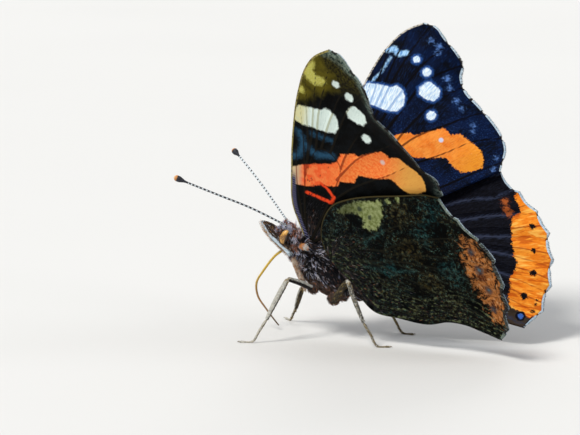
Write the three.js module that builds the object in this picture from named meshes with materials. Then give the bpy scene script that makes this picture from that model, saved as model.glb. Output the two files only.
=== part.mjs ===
// A red admiral butterfly at rest, life size, with its wings half raised.
// Millimetres, +Z up. The head faces -Y and the insect's left side is +X.
// The origin is on the floor, in the middle of the bounding box.
import * as THREE from 'three';
import { mergeVertices } from 'three/addons/utils/BufferGeometryUtils.js';

// Where the middle of the two forewing hinges is, and how the wings stand there
const HINGE = new THREE.Vector3(0, -6.75, 12);
const HINGE_PITCH = THREE.MathUtils.degToRad(24);
const WING_LEAN = THREE.MathUtils.degToRad(24.5);
const HINGE_HALF_WIDTH = 2.3;

// Wing plates: their thickness, how far outside the wing plane they start, and how they curve
const WING_THICKNESS = 0.5;
const FOREWING_INNER_FACE = -0.5;
const HINDWING_INNER_FACE = 0.3;
const COSTA_DROOP = 0.35;
const COSTA_DROOP_WIDTH = 5;
const TIP_SWEEP = 0.4;
const WING_SPAN = 30;
const HINDWING_BULGE = 0.6;
const FOLD_HALF_LENGTH = 2.5;
const SCALLOP_DEPTH = 0.4;

// How far each wing's outer margin curls towards its underside, from the tip back, and where that begins
const FOREWING_CURL = [0, 0.7, 1.1, 1.9, 1.9, 1.9, 2.1, 2.6, 2.5, 1, 0];
const HINDWING_CURL = [0, 0.5, 1.1, 1.1, 1, 1.1, 1.4, 1.5, 1.4, 0.9, 0.2];
const CURL_START = 0.84;
const CURL_POWER = 1.6;

// Body sizes, with the depth of the coat in them
const HEAD = { y: -3.35, z: -1.15, halfWidth: 0.84, halfLength: 1.3, halfHeight: 1.45 };
const BROW_WIDENING = 0.12;
const EYE = { x: 1.32, y: -3.35, z: -1.0, bulge: 0.55, halfLength: 0.8, halfHeight: 1.02 };
const EYE_INNER_SHARE = 0.22;
const TEGULA = { x: 3.0, y: 0.1, z: -0.35, halfWidth: 0.32, halfLength: 0.62, halfHeight: 0.42 };
const THORAX_HALF_WIDTHS = [1.2, 2.0, 2.4, 2.4, 2.2, 1.7];
const THORAX_HALF_HEIGHTS = [1.5, 2.45, 3.4, 3.8, 3.5, 2.2];
const ABDOMEN_HALF_WIDTHS = [1.75, 1.95, 1.9, 1.65, 1.25, 0.8];
const ABDOMEN_HALF_HEIGHTS = [1.75, 2, 1.95, 1.7, 1.3, 0.85];
const FEELER_RADIUS = 0.25;
const CLUB_RADIUS = 0.45;
const CLUB_SHARE = 0.16;
const PROBOSCIS_RADIUS = 0.25;
const PALP_HALF_WIDTHS = [0.3, 0.36, 0.36, 0.36, 0.34, 0.24];
const PALP_HALF_HEIGHTS = [0.34, 0.42, 0.42, 0.42, 0.36, 0.24];
const ABDOMEN_RINGS = 7;
const RING_DEPTH_SHARE = 0.035;

// Leg sizes, and the gaps between a leg's lengths at its joints
const FORELEG_RADII = [0.3, 0.36, 0.32, 0.27];
const FEMUR_RADIUS = 0.36;
const KNEE_RADIUS = 0.27;
const TIBIA_RADIUS = 0.3;
const ANKLE_RADIUS = 0.25;
const SOLE_RADIUS = 0.26;
const SOLE_HEIGHT = 0.2;
const SOLE_START = 0.5;
const KNEE_GAP = 0.5;
const ANKLE_GAP = 0.2;

const finishes = {
  wing: new THREE.MeshStandardMaterial({ color: 0x14110f, roughness: 0.75, metalness: 0 }),
  hindwing: new THREE.MeshStandardMaterial({ color: 0x2a221b, roughness: 0.8, metalness: 0 }),
  hair: new THREE.MeshStandardMaterial({ color: 0x4a3b33, roughness: 0.9, metalness: 0 }),
  eye: new THREE.MeshStandardMaterial({ color: 0xb87a2c, roughness: 0.25, metalness: 0 }),
  feeler: new THREE.MeshStandardMaterial({ color: 0x17120f, roughness: 0.6, metalness: 0 }),
  palp: new THREE.MeshStandardMaterial({ color: 0xa9a6a2, roughness: 0.85, metalness: 0 }),
  horn: new THREE.MeshStandardMaterial({ color: 0x8a6a2a, roughness: 0.4, metalness: 0 }),
  leg: new THREE.MeshStandardMaterial({ color: 0xb8a47c, roughness: 0.6, metalness: 0 }),
};

const vec = (x, y, z) => new THREE.Vector3(x, y, z);
const smooth = (x) => THREE.MathUtils.smoothstep(x, 0, 1);

function closedSolid(geometry) {
  geometry.deleteAttribute('normal');
  geometry.deleteAttribute('uv');
  const solid = mergeVertices(geometry, 1e-4);
  solid.computeVertexNormals();
  return solid;
}

function moveVertices(geometry, place) {
  const position = geometry.attributes.position;
  for (let i = 0; i < position.count; i += 1) {
    const p = place(position.getX(i), position.getY(i), position.getZ(i));
    position.setXYZ(i, p.x, p.y, p.z);
  }
  return closedSolid(geometry);
}

// A plate over a four-sided patch: u runs out from the root, v back from the leading edge
function plate(stepsOut, stepsBack, side, place) {
  const box = new THREE.BoxGeometry(1, 1, 1, stepsOut, stepsBack, 1);
  return moveVertices(box, (x, y, z) => {
    const p = place(x + 0.5, y + 0.5, 0.5 - side * z);
    return vec(side * p.x, p.y, p.z);
  });
}

// A solid swept along a path: size(t) gives the half width and half height of the section at t
function sweep(path, steps, sides, size, sideways = vec(1, 0, 0)) {
  const tube = new THREE.CylinderGeometry(1, 1, 1, sides, steps, false, Math.PI / sides);
  return moveVertices(tube, (x, y, z) => {
    const t = y + 0.5;
    const ahead = path.getTangent(t);
    const above = sideways.clone().cross(ahead).normalize();
    const across = ahead.clone().cross(above);
    const [halfWidth, halfHeight] = size(t);
    return path.getPoint(t)
      .addScaledVector(across, x * halfWidth)
      .addScaledVector(above, z * halfHeight);
  });
}

const spline = (points) => new THREE.CatmullRomCurve3(points.map((p) => vec(...p)), false, 'centripetal');
const flatSpline = (points) => new THREE.SplineCurve(points.map((p) => new THREE.Vector2(...p)));

// The share of its full radius that a body has at t, when its ends round off over the two
// stated shares of its length and close with a flat of the least radius
function roundEnds(t, capStart, capEnd, least = 0.2) {
  const start = Math.min(1, t / capStart);
  const end = Math.min(1, (1 - t) / capEnd);
  const share = Math.sqrt(1 - (1 - start) ** 2) * Math.sqrt(1 - (1 - end) ** 2);
  return Math.max(least, share);
}

// Values between evenly spaced stations
function along(stations, t) {
  const last = stations.length - 1;
  const i = Math.min(last - 1, Math.floor(t * last));
  return THREE.MathUtils.lerp(stations[i], stations[i + 1], t * last - i);
}

// Wing outlines, drawn flat: x is the way back along the hinge line, y the way out from it
const forewingOutline = {
  lead: flatSpline([[-0.5, 0.7], [-1.9, 2.6], [-3.3, 5.4], [-4.3, 10.4], [-5.2, 16],
    [-5.6, 21.5], [-5.4, 25.3], [-4.5, 28.2], [-2.8, 30.2]]),
  margin: flatSpline([[-2.8, 30.2], [-1.2, 30.6], [0.8, 29.8], [3, 28.9], [4.3, 28],
    [4.9, 26.5], [6.4, 25.2], [8.8, 24.4], [11.2, 23.5], [13.2, 22.4], [14.9, 20.7], [15.8, 18]]),
  trail: flatSpline([[1.3, 0.7], [5.2, 5], [10.2, 10.8], [13.8, 15.4], [15.8, 18]]),
  scallops: 0,
};
const hindwingOutline = {
  lead: flatSpline([[3.3, 0.5], [2, 2.4], [1.6, 5], [2.3, 8.2], [4.4, 10.7], [7.4, 13.1],
    [10.8, 15.4], [13.4, 17.2], [15.7, 18.2]]),
  margin: flatSpline([[15.7, 18.2], [18, 17.5], [21, 16.7], [23.8, 15.4], [26, 13.2],
    [27.9, 10.2], [28.9, 7], [29.2, 4.2], [28.3, 2.4]]),
  trail: flatSpline([[5.4, -0.6], [8, -1.9], [11.6, -3.3], [15, -2.5], [18.6, -1.3],
    [21, 0.5], [23.4, 1.5], [25.8, 1.8], [28.3, 2.4]]),
  scallops: 7,
};

function outlinePoint(outline, u, v) {
  const { lead, margin, trail, scallops } = outline;
  const rootFront = lead.getPoint(0);
  const rootBack = trail.getPoint(0);
  const apex = margin.getPoint(0);
  const corner = margin.getPoint(1);
  const edge = margin.getPointAt(v);
  if (scallops > 0) {
    const tangent = margin.getTangentAt(v);
    const wave = Math.abs(Math.sin(Math.PI * scallops * v));
    edge.addScaledVector(new THREE.Vector2(tangent.y, -tangent.x), SCALLOP_DEPTH * wave);
  }
  const across = lead.getPointAt(u).lerp(trail.getPointAt(u), v);
  const outward = rootFront.clone().lerp(rootBack, v).lerp(edge, u);
  const corners = rootFront.clone().lerp(rootBack, v).lerp(apex.clone().lerp(corner, v), u);
  return across.add(outward).sub(corners);
}

// The wing surface: back and out are flat outline coordinates, off is the way towards the underside
function wingSurface(back, out, off) {
  const droop = COSTA_DROOP * (1 - smooth((back + COSTA_DROOP_WIDTH) / COSTA_DROOP_WIDTH));
  const sweepOut = TIP_SWEEP * (Math.max(0, out) / WING_SPAN) ** 2;
  const lift = off + droop + sweepOut;
  const normal = new THREE.Vector2(Math.cos(WING_LEAN), -Math.sin(WING_LEAN));
  const foot = new THREE.Vector2(HINGE_HALF_WIDTH, 0);
  const direction = new THREE.Vector2(Math.sin(WING_LEAN), Math.cos(WING_LEAN));
  let place = foot.clone().addScaledVector(direction, out);
  if (out < FOLD_HALF_LENGTH) {
    // The inner part of the wing turns down beside the abdomen along an arc, then hangs straight
    const bend = WING_LEAN / (2 * FOLD_HALF_LENGTH);
    const turned = Math.max(0, bend * (out + FOLD_HALF_LENGTH));
    const arcTop = foot.clone().addScaledVector(direction, FOLD_HALF_LENGTH);
    place = arcTop.sub(new THREE.Vector2(
      (Math.cos(turned) - Math.cos(WING_LEAN)) / bend,
      (Math.sin(WING_LEAN) - Math.sin(turned)) / bend,
    ));
    place.y += Math.min(0, out + FOLD_HALF_LENGTH);
    normal.set(Math.cos(turned), -Math.sin(turned));
  }
  place.addScaledVector(normal, lift);
  return vec(place.x, back, place.y);
}

function curl(depths, u, v) {
  return along(depths, v) * (Math.max(0, u - CURL_START) / (1 - CURL_START)) ** CURL_POWER;
}

function forewing(side) {
  return plate(25, 10, side, (u, v, w) => {
    const p = outlinePoint(forewingOutline, u, v);
    const off = FOREWING_INNER_FACE + curl(FOREWING_CURL, u, v) + WING_THICKNESS * w;
    return wingSurface(p.x, p.y, off);
  });
}

function hindwing(side) {
  return plate(19, 14, side, (u, v, w) => {
    const p = outlinePoint(hindwingOutline, u, v);
    const bulge = HINDWING_BULGE * Math.sin(Math.PI * u) * Math.sin(Math.PI * v);
    const off = HINDWING_INNER_FACE + bulge + curl(HINDWING_CURL, u, v) + WING_THICKNESS * w;
    return wingSurface(p.x, p.y, off);
  });
}

// The head, eyes, thorax and wing roots lean back with the hinge line, in the tilted group.
// The abdomen hangs on its own path, given from the hinge point without that tilt.
function head() {
  const ball = new THREE.SphereGeometry(1, 16, 10);
  return moveVertices(ball, (x, y, z) => {
    const brow = 1 + BROW_WIDENING * z;
    return vec(
      HEAD.halfWidth * x * brow,
      HEAD.y + HEAD.halfLength * y * brow,
      HEAD.z + HEAD.halfHeight * z,
    );
  });
}

function eye(side) {
  const dome = new THREE.SphereGeometry(1, 14, 10);
  return moveVertices(dome, (x, y, z) => {
    const flat = side * x < 0 ? EYE_INNER_SHARE : 1;
    return vec(
      side * EYE.x + EYE.bulge * x * flat,
      EYE.y + EYE.halfLength * y,
      EYE.z + EYE.halfHeight * z,
    );
  });
}

function thorax() {
  const path = spline([[0, -1.6, -1.1], [0, 0.4, -1.5], [0, 3, -2], [0, 5.6, -2.35], [0, 7.7, -2.6]]);
  return sweep(path, 16, 20, (t) => {
    const end = roundEnds(t, 0.12, 0.14, 0.55);
    return [along(THORAX_HALF_WIDTHS, t) * end, along(THORAX_HALF_HEIGHTS, t) * end];
  });
}

function abdomen() {
  const path = spline([[0, 6.7, -5.75], [0, 10, -6.15], [0, 13.5, -6.3], [0, 17.2, -6.1]]);
  return sweep(path, 21, 16, (t) => {
    const ring = 1 - RING_DEPTH_SHARE * (1 - Math.abs(Math.sin(Math.PI * ABDOMEN_RINGS * t)));
    const end = ring * roundEnds(t, 0.08, 0.14, 0.3);
    return [along(ABDOMEN_HALF_WIDTHS, t) * end, along(ABDOMEN_HALF_HEIGHTS, t) * end];
  });
}

function tegula(side) {
  const cap = new THREE.SphereGeometry(1, 10, 6);
  return moveVertices(cap, (x, y, z) => vec(
    side * TEGULA.x + TEGULA.halfWidth * x,
    TEGULA.y + TEGULA.halfLength * y,
    TEGULA.z + TEGULA.halfHeight * z,
  ));
}

// Feelers, mouth parts and legs: their paths are given as seen in the world, from the hinge point
function antenna(points) {
  return sweep(spline(points), 24, 8, (t) => {
    const club = smooth((t - 1 + CLUB_SHARE) / (0.6 * CLUB_SHARE));
    const radius = THREE.MathUtils.lerp(FEELER_RADIUS, CLUB_RADIUS, club);
    const share = roundEnds(t, 0.01, 0.05, 0.45);
    return [radius * share, radius * share];
  });
}

function palp(side) {
  const path = spline([
    [side * 1.05, -2.75, -2.5],
    [side * 1.14, -3.3, -1.9],
    [side * 1.14, -4.2, -1.1],
    [side * 1.0, -5.3, 0],
    [side * 0.75, -6.3, 0.95],
    [side * 0.45, -7.05, 1.7],
  ]);
  return sweep(path, 10, 8, (t) => {
    const end = roundEnds(t, 0.1, 0.12, 0.5);
    return [along(PALP_HALF_WIDTHS, t) * end, along(PALP_HALF_HEIGHTS, t) * end];
  });
}

function proboscis(points) {
  return sweep(spline(points), 26, 8, (t) => {
    const radius = PROBOSCIS_RADIUS * roundEnds(t, 0.02, 0.02, 0.7);
    return [radius, radius];
  });
}

// A small front leg, folded against the breast
function foreleg(side) {
  const path = spline([
    [side * 0.95, -2.6, -3.15],
    [side * 0.95, -2.05, -4.35],
    [side * 0.95, -1.45, -5.55],
    [side * 0.9, -0.6, -6.65],
  ]);
  return sweep(path, 8, 8, (t) => {
    const radius = along(FORELEG_RADII, t) * roundEnds(t, 0.1, 0.1, 0.6);
    return [radius, radius];
  });
}

// One length of a leg, which keeps upright sections so that its sole is level
function limb(points, from, to, steps) {
  const heading = vec(...points.at(-1)).sub(vec(...points[0]));
  const sideways = vec(heading.y, -heading.x, 0).normalize();
  return sweep(spline(points), steps, 8, (t) => {
    const radius = THREE.MathUtils.lerp(from, to, smooth(t));
    const share = roundEnds(t, 0.1, 0.08, 0.6);
    return [radius * share, radius * share];
  }, sideways);
}

// The points of a straight length between two joints, short of each by a gap
function between(start, end, gapStart, gapEnd) {
  const a = vec(...start);
  const b = vec(...end);
  const length = a.distanceTo(b);
  const first = a.clone().lerp(b, gapStart / length);
  const last = b.clone().lerp(a, gapEnd / length);
  return [first, first.clone().lerp(last, 0.5), last].map((p) => p.toArray());
}

// Feet: the tarsus comes down from the ankle and its end lies along the floor
const FLOOR = -HINGE.z;
const SOLE = FLOOR + SOLE_HEIGHT;

function tarsus(ankle, toe) {
  const start = between(ankle, toe, ANKLE_GAP, 0)[0];
  const down = vec(...start).lerp(vec(...toe), SOLE_START);
  const halfWay = vec(...start).lerp(vec(down.x, down.y, SOLE), 0.5);
  const path = [start, halfWay.toArray(), [down.x, down.y, SOLE], toe];
  const foot = limb(path, ANKLE_RADIUS, SOLE_RADIUS, 14);
  return moveVertices(foot, (x, y, z) => vec(x, y, Math.max(z, FLOOR)));
}

const root = new THREE.Group();
root.position.copy(HINGE);
const tilted = new THREE.Group();
tilted.rotation.x = -HINGE_PITCH;
root.add(tilted);

function add(name, geometry, finish, parent = root) {
  const mesh = new THREE.Mesh(geometry, finishes[finish]);
  mesh.name = name;
  parent.add(mesh);
}

add('head', head(), 'hair', tilted);
add('thorax', thorax(), 'hair', tilted);
add('abdomen', abdomen(), 'hair');
for (const [name, side] of [['left', 1], ['right', -1]]) {
  add(`eye_${name}`, eye(side), 'eye', tilted);
  add(`tegula_${name}`, tegula(side), 'hair', tilted);
  add(`forewing_${name}`, forewing(side), 'wing', tilted);
  add(`hindwing_${name}`, hindwing(side), 'hindwing', tilted);
  add(`palp_${name}`, palp(side), 'palp');
  add(`foreleg_${name}`, foreleg(side), 'leg');
}
add('proboscis', proboscis([[0, -4.4, -1.7], [0, -5.4, -2.5], [0, -6.9, -4.4], [0, -7.9, -6.1],
  [0, -7.7, -7.8], [0, -6.6, -9.3], [0, -5.4, -10.7], [0, -4.8, -11.35]]), 'horn');
add('antenna_left', antenna([[0.9, -3.5, 1.75], [1.45, -3.95, 2.15], [3.6, -7.1, 4.15],
  [6.2, -10.3, 5.95], [8.2, -13.3, 7.5], [9, -15, 8.3]]), 'feeler');
add('antenna_right', antenna([[-0.85, -3.75, 1.8], [-1.4, -4.55, 2.25], [-3.4, -7.2, 4.05],
  [-6, -10.6, 6.25], [-8.2, -13.9, 8.35], [-9, -15.3, 9.2]]), 'feeler');

const legs = {
  midleg_left: {
    hip: [1.9, 0.6, -6.3], knee: [5, -1.35, -4.2], ankle: [7.4, -3.2, -9.1], toe: [8.6, -6.35, SOLE],
  },
  midleg_right: {
    hip: [-1.9, 0.1, -6.2], knee: [-3.9, -3.3, -7.05], ankle: [-5.2, -4.8, -10.2], toe: [-6.9, -7, SOLE],
  },
  hindleg_left: {
    hip: [1.8, 3.4, -7.6], knee: [4.2, 6.4, -3.95], ankle: [4.7, 8.75, -9], toe: [3.7, 11.9, SOLE],
  },
  hindleg_right: {
    hip: [-1.8, 3.4, -7.6], knee: [-4.3, 6.3, -4.2], ankle: [-4.6, 8.5, -9.4], toe: [-4.3, 11.8, SOLE],
  },
};
for (const [name, { hip, knee, ankle, toe }] of Object.entries(legs)) {
  const thigh = between(hip, knee, 0, KNEE_GAP);
  const shin = between(knee, ankle, KNEE_GAP, ANKLE_GAP);
  add(`${name}_femur`, limb(thigh, FEMUR_RADIUS, KNEE_RADIUS, 6), 'leg');
  add(`${name}_tibia`, limb(shin, TIBIA_RADIUS, ANKLE_RADIUS, 6), 'leg');
  add(`${name}_tarsus`, tarsus(ankle, toe), 'leg');
}

export default root;
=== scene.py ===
# Looks of a life-size red admiral butterfly: wings, coat, eyes, feelers and legs.
# Sizes are in millimetres in the script and in metres in the meshes. Coordinates are those of the
# solids: the head faces -Y, the insect's left side is +X and the floor is Z = 0.
import math

import bpy
import numpy as np
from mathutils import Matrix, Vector


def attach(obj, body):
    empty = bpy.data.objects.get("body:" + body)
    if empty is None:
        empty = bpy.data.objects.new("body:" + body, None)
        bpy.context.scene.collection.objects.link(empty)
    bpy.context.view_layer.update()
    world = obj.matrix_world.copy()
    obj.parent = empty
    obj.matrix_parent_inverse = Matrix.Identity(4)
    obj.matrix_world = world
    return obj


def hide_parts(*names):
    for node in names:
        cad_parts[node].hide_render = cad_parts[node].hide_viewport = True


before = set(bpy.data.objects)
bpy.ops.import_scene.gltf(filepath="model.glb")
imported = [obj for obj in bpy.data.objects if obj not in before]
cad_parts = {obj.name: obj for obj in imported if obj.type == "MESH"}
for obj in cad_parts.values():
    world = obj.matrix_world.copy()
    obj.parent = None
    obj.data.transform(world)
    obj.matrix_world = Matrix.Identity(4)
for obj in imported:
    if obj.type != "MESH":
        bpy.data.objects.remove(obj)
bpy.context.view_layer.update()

MM = 0.001
random = np.random.default_rng(20)

# The middle of the forewing hinges, and how the wings stand there
HINGE = np.array([0.0, -6.75, 12.0])
PITCH = math.radians(24)
LEAN = math.radians(24.5)
HINGE_HALF_WIDTH = 2.3
COSTA_DROOP = 0.35
COSTA_DROOP_WIDTH = 5.0
TIP_SWEEP = 0.4
WING_SPAN = 30.0
FOLD_HALF_LENGTH = 2.5
HINDWING_BULGE = 0.6
CURL_START = 0.84
CURL_POWER = 1.6
FLOOR = -HINGE[2]
SIDES = (("left", 1), ("right", -1))


# Numbers and directions

def smooth(x):
    x = np.clip(x, 0, 1)
    return x * x * (3 - 2 * x)


def rising(x, start, width):
    """0 up to start, 1 from a width beyond it, and smooth between."""
    return smooth((x - start) / width)


def falling(x, start, width):
    """0 from start on, 1 up to a width before it, and smooth between."""
    return smooth((start - x) / width)


def bell(x, width):
    """1 where x is 0, and falling off within about a width on both sides."""
    return np.exp(-((x / width) ** 2))


def unit(v):
    return v / np.maximum(np.linalg.norm(v, axis=-1, keepdims=True), 1e-9)


def stations(values, t):
    """Values between evenly spaced stations."""
    return np.interp(t, np.linspace(0, 1, len(values)), values)


def ripple(p, size, seed):
    """A smooth irregular field of about -1 to 1, with features of the given size."""
    waves = np.random.default_rng(seed)
    total = np.zeros(len(p))
    for _ in range(7):
        direction = unit(waves.normal(size=p.shape[1]))
        turns = p @ direction * math.tau / (size * waves.uniform(0.7, 1.6))
        total += np.sin(turns + waves.uniform(0, math.tau))
    return total / 3


def from_tilted(p):
    """Places given in the tilted frame of the hinge line, in the world."""
    p = np.asarray(p, float)
    y = p[..., 1] * math.cos(PITCH) + p[..., 2] * math.sin(PITCH)
    z = -p[..., 1] * math.sin(PITCH) + p[..., 2] * math.cos(PITCH)
    return np.stack([p[..., 0], y, z], -1) + HINGE


def to_tilted(p):
    q = p - HINGE
    y = q[..., 1] * math.cos(PITCH) - q[..., 2] * math.sin(PITCH)
    z = q[..., 1] * math.sin(PITCH) + q[..., 2] * math.cos(PITCH)
    return np.stack([q[..., 0], y, z], -1)


def from_hinge(p):
    return np.asarray(p, float) + HINGE


# Curves

def spline(points, t):
    """Places at t along a centripetal curve through points, as the solids' paths run."""
    p = np.array(points, float)
    p = np.vstack([2 * p[0] - p[1], p, 2 * p[-1] - p[-2]])
    at = np.clip(np.asarray(t, float), 0, 1) * (len(points) - 1)
    i = np.minimum(at.astype(int), len(points) - 2)
    w = (at - i)[:, None]
    a, b, c, d = p[i], p[i + 1], p[i + 2], p[i + 3]
    gaps = (b - a, c - b, d - c)
    step = [np.maximum(np.sqrt(np.linalg.norm(gap, axis=1)), 1e-4)[:, None] for gap in gaps]
    start = ((b - a) / step[0] - (c - a) / (step[0] + step[1]) + (c - b) / step[1]) * step[1]
    end = ((c - b) / step[1] - (d - b) / (step[1] + step[2]) + (d - c) / step[2]) * step[1]
    return b + start * w + (3 * (c - b) - 2 * start - end) * w**2 + (2 * (b - c) + start + end) * w**3


class FlatCurve:
    """A smooth flat curve through points, walked by its length from 0 to 1."""

    def __init__(self, points):
        p = np.array(points, float)
        ends = np.vstack([p[:1], p, p[-1:]])
        at = np.linspace(0, len(p) - 1, 60 * len(p))
        i = np.minimum(at.astype(int), len(p) - 2)
        w = (at - i)[:, None]
        start = (ends[i + 2] - ends[i]) / 2
        end = (ends[i + 3] - ends[i + 1]) / 2
        gap = ends[i + 2] - ends[i + 1]
        bend = (3 * gap - 2 * start - end) * w**2
        self.dots = ends[i + 1] + start * w + bend + (start + end - 2 * gap) * w**3
        walked = np.concatenate([[0], np.cumsum(np.linalg.norm(np.diff(self.dots, axis=0), axis=1))])
        self.share = walked / walked[-1]

    def at(self, t):
        return np.stack([np.interp(t, self.share, self.dots[:, k]) for k in (0, 1)], -1)

    def inward(self, t):
        ahead = unit(self.at(np.minimum(t + 0.004, 1)) - self.at(np.maximum(t - 0.004, 0)))
        return np.stack([ahead[..., 1], -ahead[..., 0]], -1)


def path_distance(p, path):
    """How far flat points are from a path, and how far along it the nearest place is."""
    path = np.asarray(path, float)
    best = np.full(len(p), 1e9)
    along = np.zeros(len(p))
    for k, (a, b) in enumerate(zip(path[:-1], path[1:])):
        d = b - a
        t = np.clip(((p - a) @ d) / (d @ d), 0, 1)
        far = np.linalg.norm(p - a - t[:, None] * d, axis=1)
        closer = far < best
        best = np.where(closer, far, best)
        along = np.where(closer, (k + t) / (len(path) - 1), along)
    return best, along


def edge_distance(p, curve):
    """How far flat points are from one edge of a wing."""
    return path_distance(p, curve.at(np.linspace(0, 1, 60)))[0]


def inside(p, ring):
    """Signed distance to a closed outline, positive inside."""
    ring = np.asarray(ring, float)
    closed = np.vstack([ring, ring[:1]])
    far, _ = path_distance(p, closed)
    crossings = np.zeros(len(p), int)
    for a, b in zip(closed[:-1], closed[1:]):
        spans = (a[1] > p[:, 1]) != (b[1] > p[:, 1])
        rise = b[1] - a[1] if b[1] != a[1] else 1e-9
        crossings += spans & (p[:, 0] < a[0] + (p[:, 1] - a[1]) / rise * (b[0] - a[0]))
    return np.where(crossings % 2 == 1, far, -far)


def strokes(p, *paths):
    """Signed distance to drawn strokes, each a half width and its points, positive inside."""
    return np.max([half - path_distance(p, path)[0] for half, path in paths], axis=0)


def spots(p, *rounds):
    """Signed distance to round spots, each (back, out, radius), positive inside."""
    return np.max([r - np.hypot(p[:, 0] - x, p[:, 1] - y) for x, y, r in rounds], axis=0)


# Meshes

def add_object(name, data):
    thing = bpy.data.objects.new(name, data)
    bpy.context.scene.collection.objects.link(thing)
    return thing


def make_piece(name, places, faces, materials, slot, nodes, values, uv=None, kinds=None):
    """A smooth mesh piece from places in mm and lists of faces, riding on the one body."""
    mesh = bpy.data.meshes.new(name)
    corners = np.concatenate([f.ravel() for f in faces]).astype(np.int32)
    sizes = np.concatenate([np.full(len(f), f.shape[1]) for f in faces])
    starts = np.concatenate([[0], np.cumsum(sizes)[:-1]]).astype(np.int32)
    mesh.vertices.add(len(places))
    mesh.vertices.foreach_set("co", (np.asarray(places) * MM).astype(np.float32).ravel())
    mesh.loops.add(len(corners))
    mesh.loops.foreach_set("vertex_index", corners)
    mesh.polygons.add(len(sizes))
    mesh.polygons.foreach_set("loop_start", starts)
    if kinds is not None:
        mesh.polygons.foreach_set("material_index", kinds.astype(np.int32))
    for key, value in values.items():
        vector = np.ndim(value) == 2
        made = mesh.attributes.new(key, "FLOAT_VECTOR" if vector else "FLOAT", "POINT")
        value = value if vector else np.full(len(places), value)
        made.data.foreach_set("vector" if vector else "value", value.astype(np.float32).ravel())
    if uv is not None:
        layer = mesh.uv_layers.new(name="OFBake")
        layer.data.foreach_set("uv", uv[corners].astype(np.float32).ravel())
    mesh.update(calc_edges=True)
    mesh.validate()
    mesh.polygons.foreach_set("use_smooth", np.full(len(mesh.polygons), True))
    for material in materials:
        mesh.materials.append(material)
    piece = add_object(name, mesh)
    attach(piece, "root")
    if nodes:
        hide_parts(*nodes)


def tube(path, half_widths, half_heights, sides=24, sideways=(1, 0, 0)):
    """A closed sweep along places: its vertices, its quads and end triangles, share along and angle."""
    path = np.asarray(path, float)
    ahead = unit(np.gradient(path, axis=0))
    above = unit(np.cross(np.asarray(sideways, float), ahead))
    across = np.cross(ahead, above)
    angle = np.linspace(0, math.tau, sides, endpoint=False)
    ring = across[:, None] * (np.cos(angle)[None, :, None] * half_widths[:, None, None])
    ring = ring + above[:, None] * (np.sin(angle)[None, :, None] * half_heights[:, None, None])
    n = len(path)
    places = np.vstack([(path[:, None] + ring).reshape(-1, 3), path[:1], path[-1:]])
    i, j = np.meshgrid(np.arange(n - 1), np.arange(sides), indexing="ij")
    k = (j + 1) % sides
    here, after = i * sides, (i + 1) * sides
    quads = np.stack([here + j, after + j, after + k, here + k], -1).reshape(-1, 4)
    j, k = j[0], k[0]
    first = np.stack([j, k, np.full(sides, n * sides)], -1)
    last = np.stack([(n - 1) * sides + k, (n - 1) * sides + j, np.full(sides, n * sides + 1)], -1)
    share = np.concatenate([np.repeat(np.linspace(0, 1, n), sides), [0, 1]])
    turn = np.concatenate([np.tile(angle, n), [0, 0]])
    return places, [quads, np.vstack([first, last])], share, turn


def path_at(path, share):
    """The nearest of a path's places to each share of its length."""
    last = len(path) - 1
    return path[np.clip((share * last).round().astype(int), 0, last)]


def round_tube(rows, columns, margin):
    """A closed round ball of radius 1, with its poles on Z."""
    t = np.linspace(margin, math.pi - margin, rows)
    path = np.stack([np.zeros(rows), np.zeros(rows), np.cos(t)], -1)
    return tube(path, np.sin(t), np.sin(t), columns)[:2]


def round_ends(t, start, end, least):
    a = np.clip(t / start, 0, 1)
    b = np.clip((1 - t) / end, 0, 1)
    return np.maximum(least, np.sqrt(1 - (1 - a) ** 2) * np.sqrt(1 - (1 - b) ** 2))


# A tuft's lock: its rings, how it bends and tapers, and how far it stays above the floor
TUFT_RINGS = 3
LOCK_BEND = 0.55
LOCK_TAPER = 0.85
LOCK_TAPER_POWER = 1.6
LOCK_CLEARANCE = 0.06
TIP_CLEARANCE = 0.02
PATCH_SIZE = 0.003


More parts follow.
